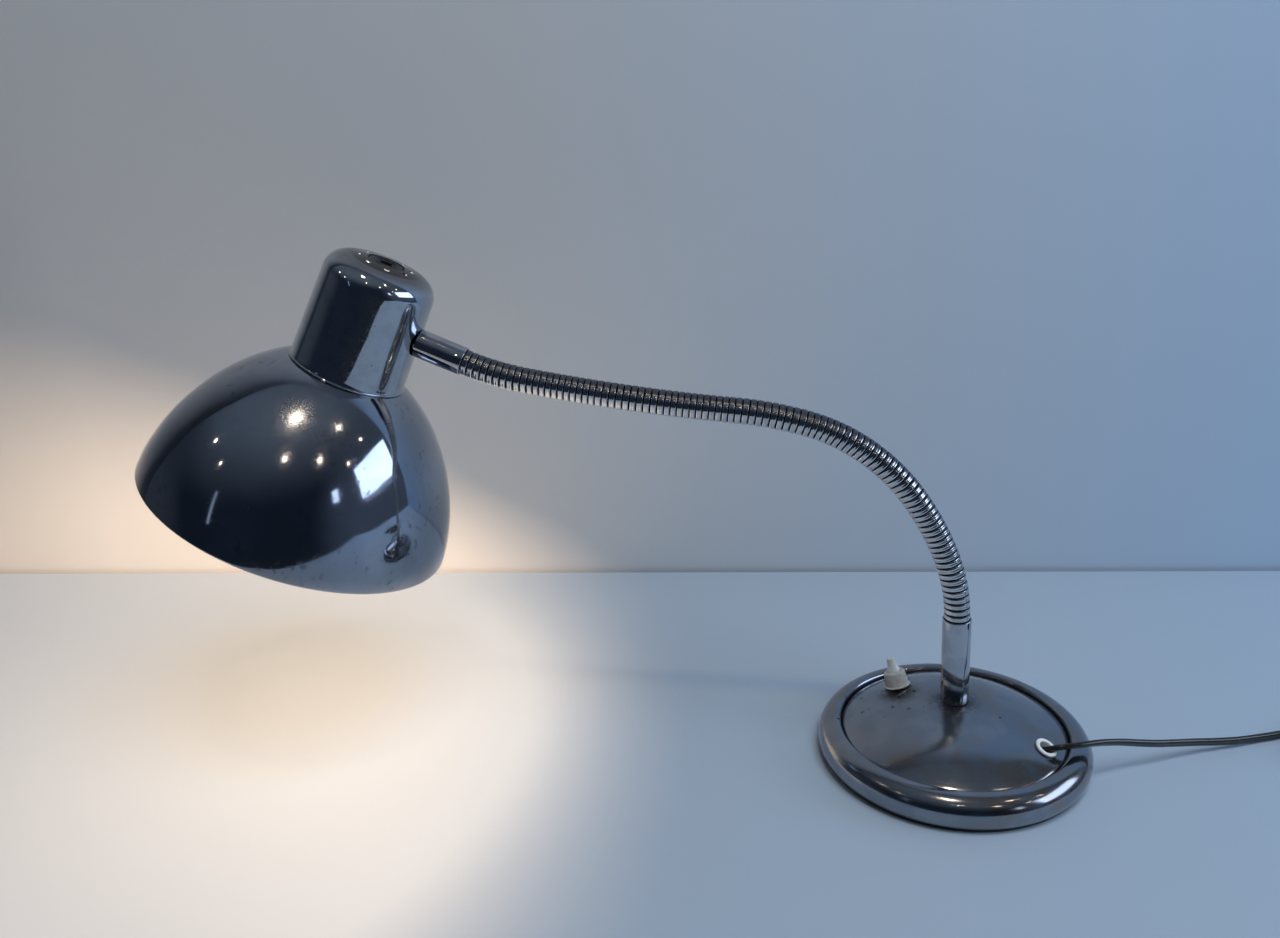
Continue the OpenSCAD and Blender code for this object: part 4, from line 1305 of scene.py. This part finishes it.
lights = {
    # Places, sizes and distances are in metres here
    "aim": (-0.3, 0, 0.22),
    # Small lamps of the ceiling: azimuth, rise, radius, radiance
    "spots": [
        (16, 70.5, 0.07, 110), (72, 50.5, 0.038, 45), (84, 35, 0.024, 40), (13, 45, 0.034, 40),
        (44, 38, 0.036, 40), (66.5, 28, 0.02, 30), (-67, 42, 0.03, 36), (-46, 38, 0.024, 30),
    ],
    "spotDistance": 2.3,
    "spotColour": "#ffe6c4",
    # Panes: azimuth, rise, width, height, distance, radiance
    "windows": [
        (87, 15.5, 1.2, 0.66, 2, 3.8), (88, 5.5, 1.1, 0.14, 2, 0.35), (53, 14.5, 0.16, 0.3, 2.2, 2.8),
        (-35, 19, 0.07, 0.62, 2.2, 0.7),
    ],
    "windowColour": "#cfe2ff",
    "keyPlace": (0.32, -0.62, 1.7),
    "keyAim": (0, 0, 0),
    "keySize": 0.9,
    "keyPower": 20.5,
    "keyColour": "#cbe3ff",
    "bulbPower": 2.2,
    "bulbFall": 29,
    "bulbRadius": 0.027,
    "bulbHeight": -110,  # mm from the cap's top
    "bulbColour": "#fee0c0",
    # The light that comes up through the vents
    "ventGlow": 0.05,
    "ventHeight": -3.6,  # mm from the cap's top
    "ventSize": 36,  # mm
    "ventColour": "#fff3e2",
}


def addLight(name, kind, place, power, colour, aim=None):
    data = bpy.data.lights.new(name, kind)
    data.energy = power
    data.color = linear(colour)[:3]
    lamp = newObject(name, data)
    lamp.location = place
    if aim is not None:
        lamp.rotation_euler = (Vector(aim) - Vector(place)).to_track_quat("-Z", "Y").to_euler()
    return lamp


def addLights():
    aim = Vector(lights["aim"])
    for k, (azimuth, rise, radius, radiance) in enumerate(lights["spots"]):
        place = aim + toward(azimuth, rise) * lights["spotDistance"]
        power = radiance * math.pi**2 * radius**2
        lamp = addLight(f"ceiling_{k + 1}", "AREA", place, power, lights["spotColour"], aim)
        lamp.data.shape = "DISK"
        lamp.data.size = 2 * radius
    for k, (azimuth, rise, width, height, far, radiance) in enumerate(lights["windows"]):
        place = aim + toward(azimuth, rise) * far
        power = radiance * math.pi * width * height
        pane = addLight(f"window_{k + 1}", "AREA", place, power, lights["windowColour"], aim)
        pane.data.shape = "RECTANGLE"
        pane.data.size = width
        pane.data.size_y = height
    place, power, colour = lights["keyPlace"], lights["keyPower"], lights["keyColour"]
    key = addLight("key", "AREA", place, power, colour, lights["keyAim"])
    key.data.size = lights["keySize"]
    key.visible_glossy = False
    place = onHead @ Vector((0, 0, lights["bulbHeight"] * mm))
    bulb = addLight("bulb_light", "POINT", place, lights["bulbPower"], lights["bulbColour"])
    bulb.data.shadow_soft_size = lights["bulbRadius"]
    # Its light is the same at any distance, so that the wall glows and the table stays under white.
    bulb.data.use_nodes = True
    tree = bulb.data.node_tree
    fall = addNode(tree, "ShaderNodeLightFalloff", {"Strength": lights["bulbFall"]}, out="Constant")
    feed(tree, tree.nodes["Emission"], {"Strength": fall})
    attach(bulb, "head")
    place = onHead @ Vector((0, 0, lights["ventHeight"] * mm))
    up = onHead.translation
    vents = addLight("vent_light", "AREA", place, lights["ventGlow"], lights["ventColour"], up)
    vents.data.shape = "DISK"
    vents.data.size = lights["ventSize"] * mm
    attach(vents, "head")
    for name in ("bulb_glass", "bulb_filament"):  # the light in the bulb passes them
        frame["nodes"][name].visible_shadow = False


gloom = {
    "colour": "#1f2835",  # the darkest part of the room
    # Axis, where a paler part starts and ends along it, its colour
    "paler": [
        (0, 0.55, 0.95, "#4d5869"), (0, -0.8, -1, "#3f4650"), (1, 0.1, 0.6, "#555e6b"),
        (2, -0.05, -0.4, "#272c33"), (2, 0.35, 0.9, "#5d6976"),
    ],
}


def addWorld():
    # A dim room: darkest in front at eye level, paler overhead and at both sides.
    world = bpy.data.worlds.new("dim room")
    bpy.context.scene.world = world
    world.use_nodes = True
    tree = world.node_tree
    way = addNode(tree, "ShaderNodeTexCoord", {}, out="Generated")
    axes = addNode(tree, "ShaderNodeSeparateXYZ", {0: way}).node.outputs
    layers = []
    for axis, start, end, paler in gloom["paler"]:
        mask = addNode(tree, "ShaderNodeMapRange", {0: axes[axis], 1: start, 2: end}, **soft)
        layers.append((mask, paler))
    colour = covered(tree, gloom["colour"], *layers)
    feed(tree, tree.nodes["Background"], {"Color": colour, "Strength": 1})


addRoom()
addLights()
addWorld()
bpy.context.scene.view_settings.view_transform = "Standard"
print("room and lights set")
